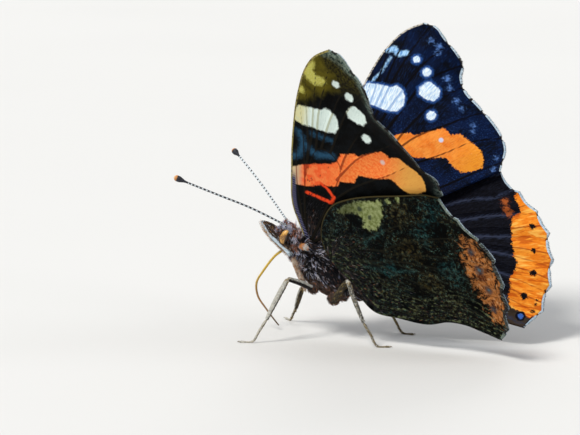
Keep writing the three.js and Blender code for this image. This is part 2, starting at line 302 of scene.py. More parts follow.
def tufts(name, roots, lies, normals, length, width, rise, curl, values, patches, material, slot, thin=0.45):
    """A coat piece: tapered locks that rise from their roots and bend over to lie along the skin."""
    n = len(roots)
    rings = TUFT_RINGS
    points = 3 * rings + 1
    width, rise, curl = (np.full(n, value, float) for value in (width, rise, curl))
    sideways = unit(np.cross(lies, normals))
    t = np.linspace(0, 1, rings + 1)
    places = np.zeros((n, points, 3))
    for k in range(rings + 1):
        forward = length * t[k] * np.cos(rise) + length * t[k] ** 2 * (1 - np.cos(rise)) * 0.5
        up = length * np.sin(rise) * (t[k] - LOCK_BEND * t[k] ** 2)
        centre = roots + lies * forward[:, None] + normals * up[:, None]
        centre = centre + sideways * (curl * length * t[k] ** 2)[:, None]
        centre[:, 2] = np.maximum(centre[:, 2], TIP_CLEARANCE if k == rings else LOCK_CLEARANCE)
        if k == rings:
            places[:, -1] = centre
            break
        half = (width * (1 - LOCK_TAPER * t[k] ** LOCK_TAPER_POWER) / 2)[:, None]
        places[:, 3 * k] = centre - sideways * half
        places[:, 3 * k + 1] = centre + sideways * half
        places[:, 3 * k + 2] = centre + normals * half * thin * 2
    sides = [(3 * k + j, 3 * k + (j + 1) % 3) for k in range(rings - 1) for j in range(3)]
    quads = [[a, a + 3, b + 3, b] for a, b in sides]
    top = 3 * (rings - 1)
    caps = [[top + j, 3 * rings, top + (j + 1) % 3] for j in range(3)] + [[0, 1, 2]]
    first = np.arange(n)[:, None, None] * points
    faces = [(np.array(corners) + first).reshape(-1, len(corners[0])) for corners in (quads, caps)]
    level = np.concatenate([np.repeat(t[:-1], 3), [1.0]])
    spread = np.concatenate([np.tile([0.0, 1.0, 0.5], rings), [0.5]])
    offset = np.stack([spread, level], -1) * PATCH_SIZE - PATCH_SIZE / 2
    uv = (np.clip(patches, 0.002, 0.998)[:, None] + offset[None]).reshape(-1, 2)
    values = {key: np.repeat(value if np.ndim(value) == 2 else np.full(n, value, float), points, axis=0)
              for key, value in values.items()}
    values["tip"] = np.tile(level, n)
    values["vary"] = np.repeat(random.uniform(0, 1, n), points)
    make_piece(name, places.reshape(-1, 3), faces, [material], slot, (), values, uv)


# Materials

class Look:
    """A node material with one Principled shader, and short words for its nodes.

    An input of a node can be a number, a colour, another node's output, the name of a field of the
    mesh, or a band: (value, low, high) and maybe a strength.
    """

    def __init__(self, name, **constants):
        self.material = bpy.data.materials.new(name)
        self.material.use_nodes = True
        self.tree = self.material.node_tree
        self.tree.nodes.clear()
        out = self.tree.nodes.new("ShaderNodeOutputMaterial")
        self.shader = self.tree.nodes.new("ShaderNodeBsdfPrincipled")
        self.tree.links.new(self.shader.outputs[0], out.inputs[0])
        for key, value in constants.items():
            self.shader.inputs[key.replace("_", " ")].default_value = value

    def put(self, socket, value):
        if isinstance(value, tuple) and socket.type == "VALUE":
            value = self.band(*value)
        if isinstance(value, str):
            output = "Vector" if socket.type == "VECTOR" else "Fac"
            value = self.node("Attribute", output, {}, attribute_name=value)
        if isinstance(value, bpy.types.NodeSocket):
            self.tree.links.new(value, socket)
        else:
            socket.default_value = (*value, 1) if socket.type == "RGBA" else value

    def node(self, kind, output, inputs, **settings):
        node = self.tree.nodes.new("ShaderNode" + kind)
        for key, value in settings.items():
            setattr(node, key, value)
        for key, value in inputs.items():
            self.put(node.inputs[key], value)
        return node.outputs[output]

    def math(self, operation, a, b=0.0):
        return self.node("Math", 0, {0: a, 1: b}, operation=operation)

    def times(self, a, b):
        return self.math("MULTIPLY", a, b)

    def plus(self, a, b):
        return self.math("ADD", a, b)

    def minus(self, a, b):
        return self.math("SUBTRACT", a, b)

    def noise(self, vector, scale, detail=3.0, rough=0.55, distortion=0.0):
        return self.node("TexNoise", "Fac", {"Vector": vector, "Scale": scale, "Detail": detail,
                                             "Roughness": rough, "Distortion": distortion})

    def cells(self, vector, scale):
        return self.node("TexVoronoi", "Distance", {"Vector": vector, "Scale": scale})

    def wave(self, vector, scale, distortion=0.0, direction="X"):
        return self.node("TexWave", "Fac", {"Vector": vector, "Scale": scale, "Distortion": distortion},
                         bands_direction=direction)

    def band(self, value, low, high, strength=1.0):
        """0 below low, 1 above high, and smooth between: with low above high it falls."""
        inputs = {"Value": value, "From Min": min(low, high), "From Max": max(low, high),
                  "To Min": float(low > high), "To Max": float(low < high)}
        share = self.node("MapRange", "Result", inputs, interpolation_type="SMOOTHSTEP")
        return share if strength == 1.0 else self.times(share, strength)

    def jitter(self, name, grain, amount):
        """A marking's signed distance, roughened by whole scales at its edge."""
        return self.plus(name, self.times(self.minus(grain, 0.5), amount))

    def mix(self, share, a, b):
        return self.node("Mix", 2, {0: share, 6: a, 7: b}, data_type="RGBA")

    def layers(self, base, *layers):
        """Colours laid over a base one after another, each (share, colour)."""
        for share, colour in layers:
            base = self.mix(share, base, colour)
        return base

    def bump(self, height, distance):
        normal = self.node("Bump", 0, {"Strength": 1.0, "Distance": distance * MM, "Height": height})
        self.put(self.shader.inputs["Normal"], normal)

    def colour(self, value):
        self.put(self.shader.inputs["Base Color"], value)

    def rough(self, value):
        self.put(self.shader.inputs["Roughness"], value)


# Wing outlines and veins, drawn flat: back along the hinge line, and out from it

FOREWING = {
    "name": "forewing",
    "lead": FlatCurve([[-0.5, 0.7], [-1.9, 2.6], [-3.3, 5.4], [-4.3, 10.4], [-5.2, 16], [-5.6, 21.5],
                       [-5.4, 25.3], [-4.5, 28.2], [-2.8, 30.2]]),
    "margin": FlatCurve([[-2.8, 30.2], [-1.2, 30.6], [0.8, 29.8], [3, 28.9], [4.3, 28], [4.9, 26.5],
                         [6.4, 25.2], [8.8, 24.4], [11.2, 23.5], [13.2, 22.4], [14.9, 20.7], [15.8, 18]]),
    "trail": FlatCurve([[1.3, 0.7], [5.2, 5], [10.2, 10.8], [13.8, 15.4], [15.8, 18]]),
    "scallops": 0,
    "curl": [0, 0.7, 1.1, 1.9, 1.9, 1.9, 2.1, 2.6, 2.5, 1, 0],
    "off": -0.22,
    "bulge": 0.0,
    "pleats": 0.085,
    "grid": (190, 100),
    "veins": [
        [[-0.3, 0.8], [-1.5, 4], [-3.2, 9], [-4.6, 16.5]],
        [[-0.1, 0.8], [-1.2, 4.5], [-2.2, 9.5], [-3.4, 15], [-5.2, 21.5]],
        [[-2.2, 9.5], [-2.6, 14], [-3.9, 20], [-5.1, 25.4]],
        [[-2.4, 12.5], [-2.6, 17], [-3.4, 23], [-4.0, 28.4]],
        [[-1.6, 14.6], [-2.3, 20.5], [-2.3, 26], [-1.9, 30.4]],
        [[-1.0, 15.2], [-0.7, 20], [0.0, 25.2], [1.3, 29.6]],
        [[0.3, 15.2], [0.7, 19], [1.5, 23.6], [4.1, 28.0]],
        [[2.1, 13.7], [2.4, 16.4], [3.6, 21.0], [5.7, 25.7]],
        [[1.9, 11.8], [3.5, 15.7], [4.7, 17.6], [7.3, 20.7], [9.6, 24.0]],
        [[1.6, 7.6], [4.6, 12.4], [8.3, 16.6], [10.5, 19.4], [13.3, 22.2]],
        [[0.9, 0.8], [4.4, 5.4], [9.2, 11.4], [13.2, 16.6], [15.4, 19.4]],
        [[0.5, 0.8], [1.2, 5], [1.9, 10], [2.1, 13.7], [0.3, 15.2], [-1.6, 14.6], [-2.2, 9.5]],
    ],
    "folds": [
        [[-1.6, 16], [-1.3, 21], [-1.1, 25.6], [-0.4, 30.2]],
        [[-0.2, 16.5], [0.2, 21], [1.0, 24.7], [2.7, 29.0]],
        [[0.8, 16], [1.7, 21.3], [2.6, 22.7], [4.7, 26.8]],
        [[2.6, 16.2], [3.9, 19.5], [6.3, 22.4], [7.6, 24.8]],
        [[3.4, 13.4], [5.6, 16.4], [7.9, 19.3], [11.4, 23.3]],
        [[4.4, 9.6], [9.0, 15.4], [12.4, 19.2], [14.4, 21]],
        [[0.2, 3], [0.2, 8], [0.3, 14.6]],
    ],
}
HINDWING = {
    "name": "hindwing",
    "lead": FlatCurve([[3.3, 0.5], [2, 2.4], [1.6, 5], [2.3, 8.2], [4.4, 10.7], [7.4, 13.1], [10.8, 15.4],
                       [13.4, 17.2], [15.7, 18.2]]),
    "margin": FlatCurve([[15.7, 18.2], [18, 17.5], [21, 16.7], [23.8, 15.4], [26, 13.2], [27.9, 10.2],
                         [28.9, 7], [29.2, 4.2], [28.3, 2.4]]),
    "trail": FlatCurve([[5.4, -0.6], [8, -1.9], [11.6, -3.3], [15, -2.5], [18.6, -1.3], [21, 0.5],
                        [23.4, 1.5], [25.8, 1.8], [28.3, 2.4]]),
    "scallops": 7,
    "curl": [0, 0.5, 1.1, 1.1, 1, 1.1, 1.4, 1.5, 1.4, 0.9, 0.2],
    "off": 0.52,
    "bulge": HINDWING_BULGE,
    "pleats": 0.12,
    "grid": (165, 120),
    "veins": [
        [[3.9, 0.6], [3.2, 4], [4.4, 8.2], [8, 12], [15.6, 17.8]],
        [[4.2, 0.4], [6.4, 4], [9, 8], [11.7, 11.2], [14.4, 13.5], [16.5, 14.8], [18.3, 17.4]],
        [[10.5, 6.2], [12, 8.2], [14.7, 10.7], [17.4, 12.7], [19.6, 14.0], [22.6, 16.1]],
        [[11.2, 5.8], [13, 7.4], [17.3, 9.7], [20.9, 11.6], [25.3, 13.9]],
        [[11.2, 5], [14, 6.6], [20.6, 9.1], [23.1, 9.8], [27.6, 10.9]],
        [[4.4, 0.2], [8, 3], [12.6, 5.4], [18, 6.5], [23.5, 7.2], [28.7, 7.8]],
        [[7, 2.2], [10.5, 3.8], [18, 4.4], [24, 4.7], [29.1, 4.8]],
        [[5, 0], [8, 0.8], [14, 1.6], [22, 2.6], [28.2, 2.7]],
        [[5.2, -0.3], [8, -1], [12, -1.6], [17, -0.9], [21, 1.0], [24.5, 2.0]],
        [[9.2, 5.6], [10.5, 6.2], [11.2, 5.8], [11.2, 5], [9.8, 4.2]],
    ],
    "folds": [
        [[10, 8], [13.9, 11.1], [17.8, 13.9], [19.9, 15.3], [20.7, 16.7]],
        [[13, 8.2], [17.5, 11.2], [20.7, 12.7], [22.2, 13.8], [24.2, 15.1]],
        [[13, 6.8], [17, 8.6], [21.9, 10.6], [24.3, 11.5], [26.8, 12.4]],
        [[13, 5.8], [18, 7.4], [23.1, 8.5], [25.4, 9.0], [28.3, 9.4]],
        [[12, 4.8], [18, 5.4], [24.6, 5.9], [26.6, 6.1], [29.1, 6.4]],
        [[10, 2.8], [16, 3.0], [23, 3.6], [28.9, 3.8]],
        [[8, 0], [12, 0], [17, 0.6], [22, 1.8], [26, 2.2]],
    ],
}
SCALLOP_DEPTH = 0.4
FRINGE_LENGTH = 0.4
INSET_SHARE = 0.982
MEMBRANE_HALF_THICKNESS = 0.06
VEIN_ROOT_HALF_WIDTH = 0.17
VEIN_TIP_HALF_WIDTH = 0.05
VEIN_SWELL = 0.45
VEIN_SHOULDER = 0.08
RIM_STEPS = 161
GRAIN_TURNS = 16
GRAIN_REACH = 0.13
FRINGE_COUNT = 1100
FRINGE_ROOT_DEPTH = 0.2
FRINGE_ROOT_SHARE = 0.995
FRINGE_LAYER_GAP = 0.1


def outline_point(wing, u, v, inset=0.0):
    """Flat places on a wing: u runs out from the root, v back from the leading edge."""
    lead, margin, trail = wing["lead"], wing["margin"], wing["trail"]
    root = (1 - v)[:, None] * lead.at(0.0) + v[:, None] * trail.at(0.0)
    corner = (1 - v)[:, None] * margin.at(0.0) + v[:, None] * margin.at(1.0)
    wave = np.abs(np.sin(math.pi * wing["scallops"] * v)) * SCALLOP_DEPTH
    taper = np.clip(np.sin(math.pi * v), 0, 1) ** 0.3
    edge = margin.at(v) + margin.inward(v) * (wave + inset * taper)[:, None]
    across = lead.at(u) * (1 - v)[:, None] + trail.at(u) * v[:, None]
    outward = root * (1 - u)[:, None] + edge * u[:, None]
    corners = root * (1 - u)[:, None] + corner * u[:, None]
    return across + outward - corners


def wing_place(side, flat, off):
    """Flat wing places in the world, off towards the underside."""
    back, out = flat[:, 0], flat[:, 1]
    droop = COSTA_DROOP * (1 - rising(back, -COSTA_DROOP_WIDTH, COSTA_DROOP_WIDTH))
    lift = off + droop + TIP_SWEEP * (np.maximum(0, out) / WING_SPAN) ** 2
    bend = LEAN / (2 * FOLD_HALF_LENGTH)
    turned = np.clip(bend * (out + FOLD_HALF_LENGTH), 0, LEAN)
    top_x = HINGE_HALF_WIDTH + math.sin(LEAN) * FOLD_HALF_LENGTH
    top_z = math.cos(LEAN) * FOLD_HALF_LENGTH
    inner = out < FOLD_HALF_LENGTH
    x = np.where(inner, top_x - (np.cos(turned) - math.cos(LEAN)) / bend,
                 HINGE_HALF_WIDTH + math.sin(LEAN) * out)
    z = np.where(inner, top_z - (math.sin(LEAN) - np.sin(turned)) / bend, math.cos(LEAN) * out)
    z = z + np.minimum(0, out + FOLD_HALF_LENGTH)
    x = x + np.cos(turned) * lift
    z = z - np.sin(turned) * lift
    return from_tilted(np.stack([side * x, back, z], -1))


def line_field(flat, lines):
    """Distance to the nearest of some smooth lines, and how far along it, root to margin."""
    best = np.full(len(flat), 1e9)
    along = np.zeros(len(flat))
    for points in lines:
        far, t = path_distance(flat, FlatCurve(points).at(np.linspace(0, 1, 30)))
        closer = far < best
        best = np.where(closer, far, best)
        along = np.where(closer, t, along)
    return best, along


def curl(wing, u, v):
    """How far the outer margin bends towards the underside."""
    depths = FlatCurve(np.stack([np.linspace(0, 1, 11), wing["curl"]], -1)).dots
    depth = np.maximum(0, np.interp(v, depths[:, 0], depths[:, 1]))
    return depth * (np.maximum(0, u - CURL_START) / (1 - CURL_START)) ** CURL_POWER


def surface_off(wing, u, v, flat):
    """Where the middle of the membrane lies, with its pleats between the veins."""
    vein, _ = line_field(flat, wing["veins"])
    fold, _ = line_field(flat, wing["folds"])
    bulge = wing["bulge"] * np.sin(math.pi * u) * np.sin(math.pi * v) + curl(wing, u * INSET_SHARE, v)
    between = (fold - vein) / np.maximum(fold + vein, 0.6)
    growth = rising(u, 0.15, 0.6) * (0.35 + 0.65 * rising(u, 0.5, 0.5))
    waves = 0.05 * ripple(flat, 7.0, 3) * smooth(u * 1.4)
    return wing["off"] + bulge + wing["pleats"] * growth * between + waves


def wing_piece(wing, name, side, looks, markings):
    """One wing: a thin closed membrane, with an upper and an under face that meet along its edge."""
    rows, columns = wing["grid"]
    u, v = np.repeat(np.linspace(0, 1, rows), columns), np.tile(np.linspace(0, 1, columns), rows)
    flat = outline_point(wing, u, v, FRINGE_LENGTH)
    vein, along = line_field(flat, wing["veins"])
    fold, _ = line_field(flat, wing["folds"])
    middle = surface_off(wing, u, v, flat)
    half_vein = VEIN_ROOT_HALF_WIDTH + (VEIN_TIP_HALF_WIDTH - VEIN_ROOT_HALF_WIDTH) * along
    rim = np.minimum.reduce([u, 1 - u, v, 1 - v]) > 1e-6
    half = (MEMBRANE_HALF_THICKNESS + VEIN_SWELL * half_vein * bell(vein, half_vein + VEIN_SHOULDER)) * rim
    upper = wing_place(side, flat, middle - half)
    under = wing_place(side, flat, middle + half)
    count = rows * columns
    own = np.arange(count)
    own[rim] = count + np.arange(rim.sum())
    i, j = np.meshgrid(np.arange(rows - 1), np.arange(columns - 1), indexing="ij")
    corner = i * columns + j
    quads = np.stack([corner, corner + 1, corner + columns + 1, corner + columns], -1).reshape(-1, 4)
    faces = np.vstack([quads[:, ::-side], own[quads][:, ::side]])
    ring = outline_point(wing, np.ones(RIM_STEPS), np.linspace(0, 1, RIM_STEPS), FRINGE_LENGTH)
    away = flat - wing["trail"].at(0.0)
    turn = np.arctan2(away[:, 0], away[:, 1]) * GRAIN_TURNS
    level = np.zeros(count)
    values = markings(flat)
    values.update({
        "vein": vein - half_vein, "fold": fold, "back": flat[:, 0], "reach": flat[:, 1], "share": u,
        "rim": path_distance(flat, ring)[0], "flat": np.stack([flat[:, 0], flat[:, 1], level], -1),
        "lead": edge_distance(flat, wing["lead"]),
        "grain": np.stack([turn, np.hypot(away[:, 0], away[:, 1]) * GRAIN_REACH, level], -1),
    })
    values = {key: np.concatenate([value, value[rim]]) for key, value in values.items()}
    node = f"{wing['name']}_{name}"
    make_piece(f"{node}_membrane", np.vstack([upper, under[rim]]), [faces], looks, wing["name"], [node],
               values, kinds=np.repeat([0, 1], len(quads)))


# Markings of the forewing

WHITE_BAR = [[-5.3, 18.2], [-5.2, 20.0], [-4.1, 20.4], [-3.2, 20.7], [-2.2, 20.9], [-1.5, 21.5], [-0.5, 21.3],
             [0.2, 20.6], [0.6, 19.6], [0.3, 18.5], [-0.6, 18.1], [-1.6, 17.9], [-2.8, 17.8], [-4.0, 17.5],
             [-5.2, 17.6]]
THIRD_SPOT = [[1.5, 23.5], [2.0, 23.9], [2.9, 23.7], [3.6, 23.6], [4.0, 22.7], [3.7, 21.8], [2.8, 21.6],
              [1.6, 21.7], [1.1, 22.5]]
ORANGE_BAND = [[-4.2, 10.4], [-2.6, 11.7], [0.6, 13.6], [1.4, 14.5], [1.6, 15.8], [3.2, 16.9], [3.9, 16.9],
               [5.2, 18.2], [6.7, 19.5], [7.9, 19.1], [8.9, 19.8], [10.1, 19.6], [11.6, 19.4], [12.6, 19.0],
               [13.3, 18.1], [13.5, 17.3], [12.6, 16.3], [11.5, 15.6], [10.2, 15.7], [8.7, 16.3], [7.1, 15.3],
               [5.9, 14.7], [4.5, 14.2], [4.2, 12.7], [2.4, 11.8], [2.2, 10.9], [1.1, 10.2], [0.0, 9.8],
               [-0.9, 9.0], [-2.0, 8.4], [-3.2, 8.1], [-4.2, 8.6]]
YELLOW_ARC = [[-5.4, 25.2], [-5.2, 26.4], [-4.4, 27.7], [-4.1, 27.2], [-4.2, 26.2], [-3.6, 25.7],
              [-2.6, 25.7], [-2.3, 25.2], [-2.8, 24.4], [-3.8, 24.1], [-4.7, 24.5]]


def forewing_markings(flat):
    white = np.maximum(inside(flat, WHITE_BAR), inside(flat, THIRD_SPOT))
    white = np.maximum(white, spots(flat, (-1.05, 25.55, 0.5), (1.0, 24.7, 0.6), (4.4, 20.1, 0.62)))
    apical = strokes(flat, (0.38, [[-5, 25], [-4.4, 25.5], [-3.6, 25.1], [-2.7, 25.7]]),
                     (0.16, [[-4.2, 24.3], [-4.3, 22], [-4.9, 20.2]]))
    flecks = spots(flat, (-0.8, 28.6, 0.4), (0.5, 28.4, 0.5), (0.7, 27.6, 0.4), (3.5, 25.3, 0.5),
                   (4.4, 24.4, 0.4), (6.0, 23.4, 0.45), (7.2, 22.8, 0.35), (9.6, 21.6, 0.35),
                   (10.0, 20.9, 0.3), (14.3, 19.3, 0.3), (14.8, 17.9, 0.35))
    blue = strokes(flat, (0.26, [[-4.3, 16.1], [-3.4, 14.9], [-3.5, 12.9], [-4.2, 12.2]]),
                   (0.13, [[-2.6, 16.8], [-0.1, 17.1]]),
                   (0.3, [[-2.8, 14.7], [-2.1, 14.2], [-1.3, 14.0], [0.6, 14.9]]))
    streak = strokes(flat, (0.22, [[-1.5, 7.6], [-0.1, 7.7], [1.9, 8.0]]),
                     (0.2, [[0.0, 9.9], [0.7, 9.8], [2.1, 9.0], [2.0, 8.2]]))
    return {
        "white": white, "dot": spots(flat, (7.15, 17.95, 0.28)), "band": inside(flat, ORANGE_BAND),
        "apical": apical, "flecks": flecks, "blue": blue, "streak": streak,
        "arc": np.maximum(inside(flat, YELLOW_ARC), spots(flat, (-5.2, 22.5, 0.45))),
    }


# Markings of the hindwing

ORANGE_BORDER = [[18.6, 16.3], [19.4, 15.7], [20.0, 15.4], [20.4, 14.8], [19.8, 14.0], [20.3, 12.7],
                 [21.0, 11.7], [21.5, 10.9], [22.1, 10.3], [22.4, 9.7], [23.3, 9.2], [23.5, 8.5], [23.6, 7.7],
                 [23.4, 7.0], [24.2, 6.1], [24.5, 4.9], [25.4, 3.9], [26.6, 3.9], [32, 3.5], [32, 10],
                 [28, 16], [22, 19], [18.8, 17.6]]
CREAM_PATCH = [[3.2, 7.9], [3.9, 9.3], [5.0, 10.6], [8.6, 13.2], [9.3, 10.9], [9.0, 8.6], [7.2, 7.9],
               [7.2, 8.8], [6.0, 9.4], [5.0, 9.0], [4.0, 8.0]]
UNDER_BORDER = [[19.7, 14.0], [20.4, 12.3], [21.6, 10.2], [23.4, 8.3], [25.4, 6.2], [26.8, 4.9], [27.9, 5.2],
                [28.2, 7.0], [27.0, 9.6], [25.2, 12.0], [23.2, 13.7], [21.2, 14.8]]


def hindwing_markings(flat):
    dots = spots(flat, (22.6, 14.0, 0.4), (24.3, 11.5, 0.33), (25.7, 9.0, 0.42), (26.2, 5.9, 0.45))
    ticks = spots(flat, (27.7, 6.3, 0.17), (27.9, 5.6, 0.19), (28.0, 7.8, 0.15), (28.3, 8.1, 0.13),
                  (28.0, 4.8, 0.22), (27.3, 10.6, 0.14), (25.0, 13.5, 0.13))
    anal = spots(flat, (27.1, 3.5, 0.62))
    flecks = spots(flat, (18.0, 15.1, 0.4), (18.7, 14.3, 0.35), (19.3, 14.0, 0.35))
    cream = np.maximum(inside(flat, CREAM_PATCH), spots(flat, (9.4, 13.6, 0.35), (10.5, 14.6, 0.3)))
    trail = edge_distance(flat, HINDWING["trail"])
    olive = spots(flat, (13.9, 8.4, 1.6), (11.1, 12.8, 1.5), (17.8, 5.6, 1.6), (17.0, 0.3, 0.9),
                  (21.3, 3.6, 1.4))
    teal = spots(flat, (19.9, 8.4, 1.7), (15.2, 15.3, 1.3), (14.8, 11.7, 1.0), (12, 4.0, 1.2))
    lines = strokes(flat, (0.3, [[7.8, 5.9], [9.9, 9.0]]), (0.25, [[8.8, 2.4], [12, 3.6], [15.3, 5.9]]))
    rings = spots(flat, (23.0, 11.0, 0.6), (24.9, 8.9, 0.55), (26.2, 6.6, 0.5), (21.4, 12.9, 0.45))
    return {
        "band": inside(flat, ORANGE_BORDER), "dots": np.maximum(dots, ticks), "anal": anal, "flecks": flecks,
        "cream": cream, "dark": spots(flat, (6.1, 10.2, 0.5), (7.7, 9.8, 0.4), (9.1, 13.1, 0.4)),
        "border": inside(flat, UNDER_BORDER), "rings": rings, "olive": olive, "teal": teal,
        "lines": lines, "trail": trail, "scroll": np.stack([flat[:, 0] * 0.3, trail, 0 * trail], -1),
    }


# Looks of the wings

def scale_surface(look, relief, distance=0.03):
    """The fine grain of scale rows along the wing, as bump and as roughness."""
    rows = look.noise("grain", 9.0, 3.0, 0.6)
    grain = look.noise("flat", 7.0, 2.0, 0.7)
    height = look.plus(look.times(rows, 0.6), look.times(grain, 0.5))
    look.bump(look.plus(height, relief), distance)
    look.rough(look.plus(0.55, look.times(grain, 0.3)))
    return rows


def forewing_upper_look():
    look = Look("forewing_upper", Specular_IOR_Level=0.05)
    rows = scale_surface(look, ("fold", 0.12, 0.0))
    cloud = look.noise("flat", 0.35)
    speck = look.noise("flat", 3.2, 3.0, 0.75)
    fine = look.noise("flat", 6.5, 2.0, 0.8)
    bloom = look.times(look.times((fine, 0.58, 0.68), ("band", -7.0, -0.3)), (cloud, 0.34, 0.56))
    apical = look.mix((rows, 0.4, 0.65), (0.40, 0.66, 0.92), (0.10, 0.27, 0.60))
    # The ground is black; the navy of its clouds and scale rows is painted sheen, sky light reflected by the
    # velvety black scales.
    ground = look.layers(
        (0.001, 0.002, 0.006),
        ((cloud, 0.38, 0.62), (0.001, 0.006, 0.030)),
        ((rows, 0.48, 0.74), (0.004, 0.017, 0.070)),
        ((look.minus(15.0, "reach"), 0, 9, 0.8), (0.016, 0.010, 0.008)),
        (look.times(bloom, 0.75), (0.03, 0.09, 0.34)),
        ((look.jitter("flecks", speck, 2.2), -0.15, 0.6, 0.75), (0.13, 0.28, 0.70)),
        ((look.jitter("apical", speck, 0.6), -0.16, 0.2), apical),
        (("vein", 0.12, 0.0), (0.001, 0.001, 0.003)))
    orange = look.layers(
        (0.86, 0.22, 0.025),
        ((look.noise("flat", 0.8, 2.0), 0.35, 0.65), (0.93, 0.32, 0.05)),
        (("back", 8.0, 13.0), (0.84, 0.31, 0.025)),
        ((rows, 0.45, 0.7, 0.5), (0.60, 0.11, 0.012)),
        ((fine, 0.58, 0.72, 0.5), (0.98, 0.58, 0.24)),
        (("vein", 0.03, -0.03, 0.85), (0.10, 0.018, 0.005)))
    pale = look.layers(
        (0.84, 0.93, 0.98),
        ((rows, 0.42, 0.62), (0.44, 0.64, 0.88)),
        (("vein", 0.05, 0.0, 0.6), (0.14, 0.30, 0.62)))
    costa = look.mix((look.noise("flat", 2.6, 2.0), 0.45, 0.6), (0.66, 0.60, 0.50), (0.10, 0.10, 0.10))
    look.colour(look.layers(
        ground,
        ((look.jitter("band", speck, 0.9), -0.06, 0.06), orange),
        ((look.jitter("white", speck, 0.8), -0.45, 0.0, 0.7), (0.03, 0.11, 0.40)),
        ((look.jitter("white", speck, 0.5), -0.06, 0.12), pale),
        (("dot", -0.12, 0.08), (0.66, 0.70, 0.92)),
        ((look.plus("lead", look.times(speck, 0.2)), 0.34, 0.22), costa)))
    return look.material


def forewing_under_look():
    look = Look("forewing_under", Specular_IOR_Level=0.05)
    rows = scale_surface(look, ("fold", 0.12, 0.0))
    grain = look.noise("flat", 7.0, 2.0, 0.7)
    speck = look.noise("flat", 2.6, 3.0, 0.7)
    fine = look.noise("flat", 6.0, 2.0, 0.75)
    cloud = look.noise("flat", 0.5)
    ground = look.layers(
        (0.001, 0.001, 0.001),
        ((cloud, 0.4, 0.65), (0.003, 0.004, 0.005)),
        ((fine, 0.6, 0.72, 0.5), (0.012, 0.016, 0.016)))
    olive = look.mix((speck, 0.38, 0.66), (0.008, 0.006, 0.002), (0.054, 0.046, 0.006))
    high = look.plus(look.minus("reach", look.times("back", 0.45)), look.times(cloud, 5.0))
    grey = look.mix((speck, 0.38, 0.62), (0.018, 0.045, 0.042), (0.24, 0.31, 0.26))
    at_edge = look.math("MAXIMUM", look.plus(0.2, ("reach", 22.0, 27.0, 0.7)), ("back", 12.6, 15.0, 0.45))
    at_edge = look.times((look.plus("rim", look.times(cloud, 2.6)), 3.0, 1.1), at_edge)
    arc = look.mix((grain, 0.3, 0.7), (0.46, 0.42, 0.03), (0.60, 0.58, 0.20))
    red = look.layers(
        (0.96, 0.12, 0.030),
        ((look.noise("flat", 0.9, 2.0), 0.4, 0.62), (1.0, 0.25, 0.07)),
        (("back", -1.5, 4.0), look.mix((speck, 0.35, 0.65), (0.94, 0.16, 0.03), (1.0, 0.30, 0.07))),
        (("back", 7.0, 11.4), (0.90, 0.44, 0.09)),
        ((rows, 0.5, 0.75, 0.35), (0.66, 0.045, 0.010)),
        (("lead", 1.9, 0.7), (0.66, 0.50, 0.30)),
        (("vein", 0.03, -0.05, 0.75), (0.20, 0.014, 0.006)))
    cream = look.layers(
        (0.78, 0.90, 0.84),
        (("lead", 2.4, 0.9), (0.74, 0.70, 0.38)),
        ((rows, 0.5, 0.75, 0.6), (0.46, 0.62, 0.56)),
        (("vein", 0.05, -0.03, 0.6), (0.36, 0.36, 0.18)))
    stripes = look.wave("flat", 0.95, 2.5, "Y")
    striped = look.mix((stripes, 0.45, 0.6), (0.002, 0.002, 0.004), (0.13, 0.13, 0.25))
    costa = look.mix((speck, 0.45, 0.6), (0.30, 0.25, 0.08), (0.05, 0.04, 0.018))
    look.colour(look.layers(
        ground,
        ((high, 26.2, 29.8), olive),
        ((look.jitter("arc", cloud, 4.0), -2.2, 0.2, 0.8), (0.13, 0.105, 0.008)),
        (at_edge, grey),
        ((look.jitter("arc", speck, 0.9), -0.3, 0.3), arc),
        ((look.jitter("blue", speck, 1.3), -0.6, 0.45, 0.8), (0.025, 0.095, 0.18)),
        (("vein", 0.03, -0.03, 0.8), (0.010, 0.008, 0.005)),
        ((look.jitter("band", speck, 0.6), -0.12, 0.12), red),
        ((look.jitter("streak", speck, 0.4), -0.14, 0.1), (0.80, 0.060, 0.014)),
        ((look.jitter("white", speck, 0.6), -0.16, 0.16), cream),
        (("dot", -0.2, 0.1), (0.74, 0.52, 0.46)),
        (look.times(("lead", 0.85, 0.6), ("reach", 10.2, 8.6)), striped),
        (("lead", 0.3, 0.16), costa)))
    return look.material


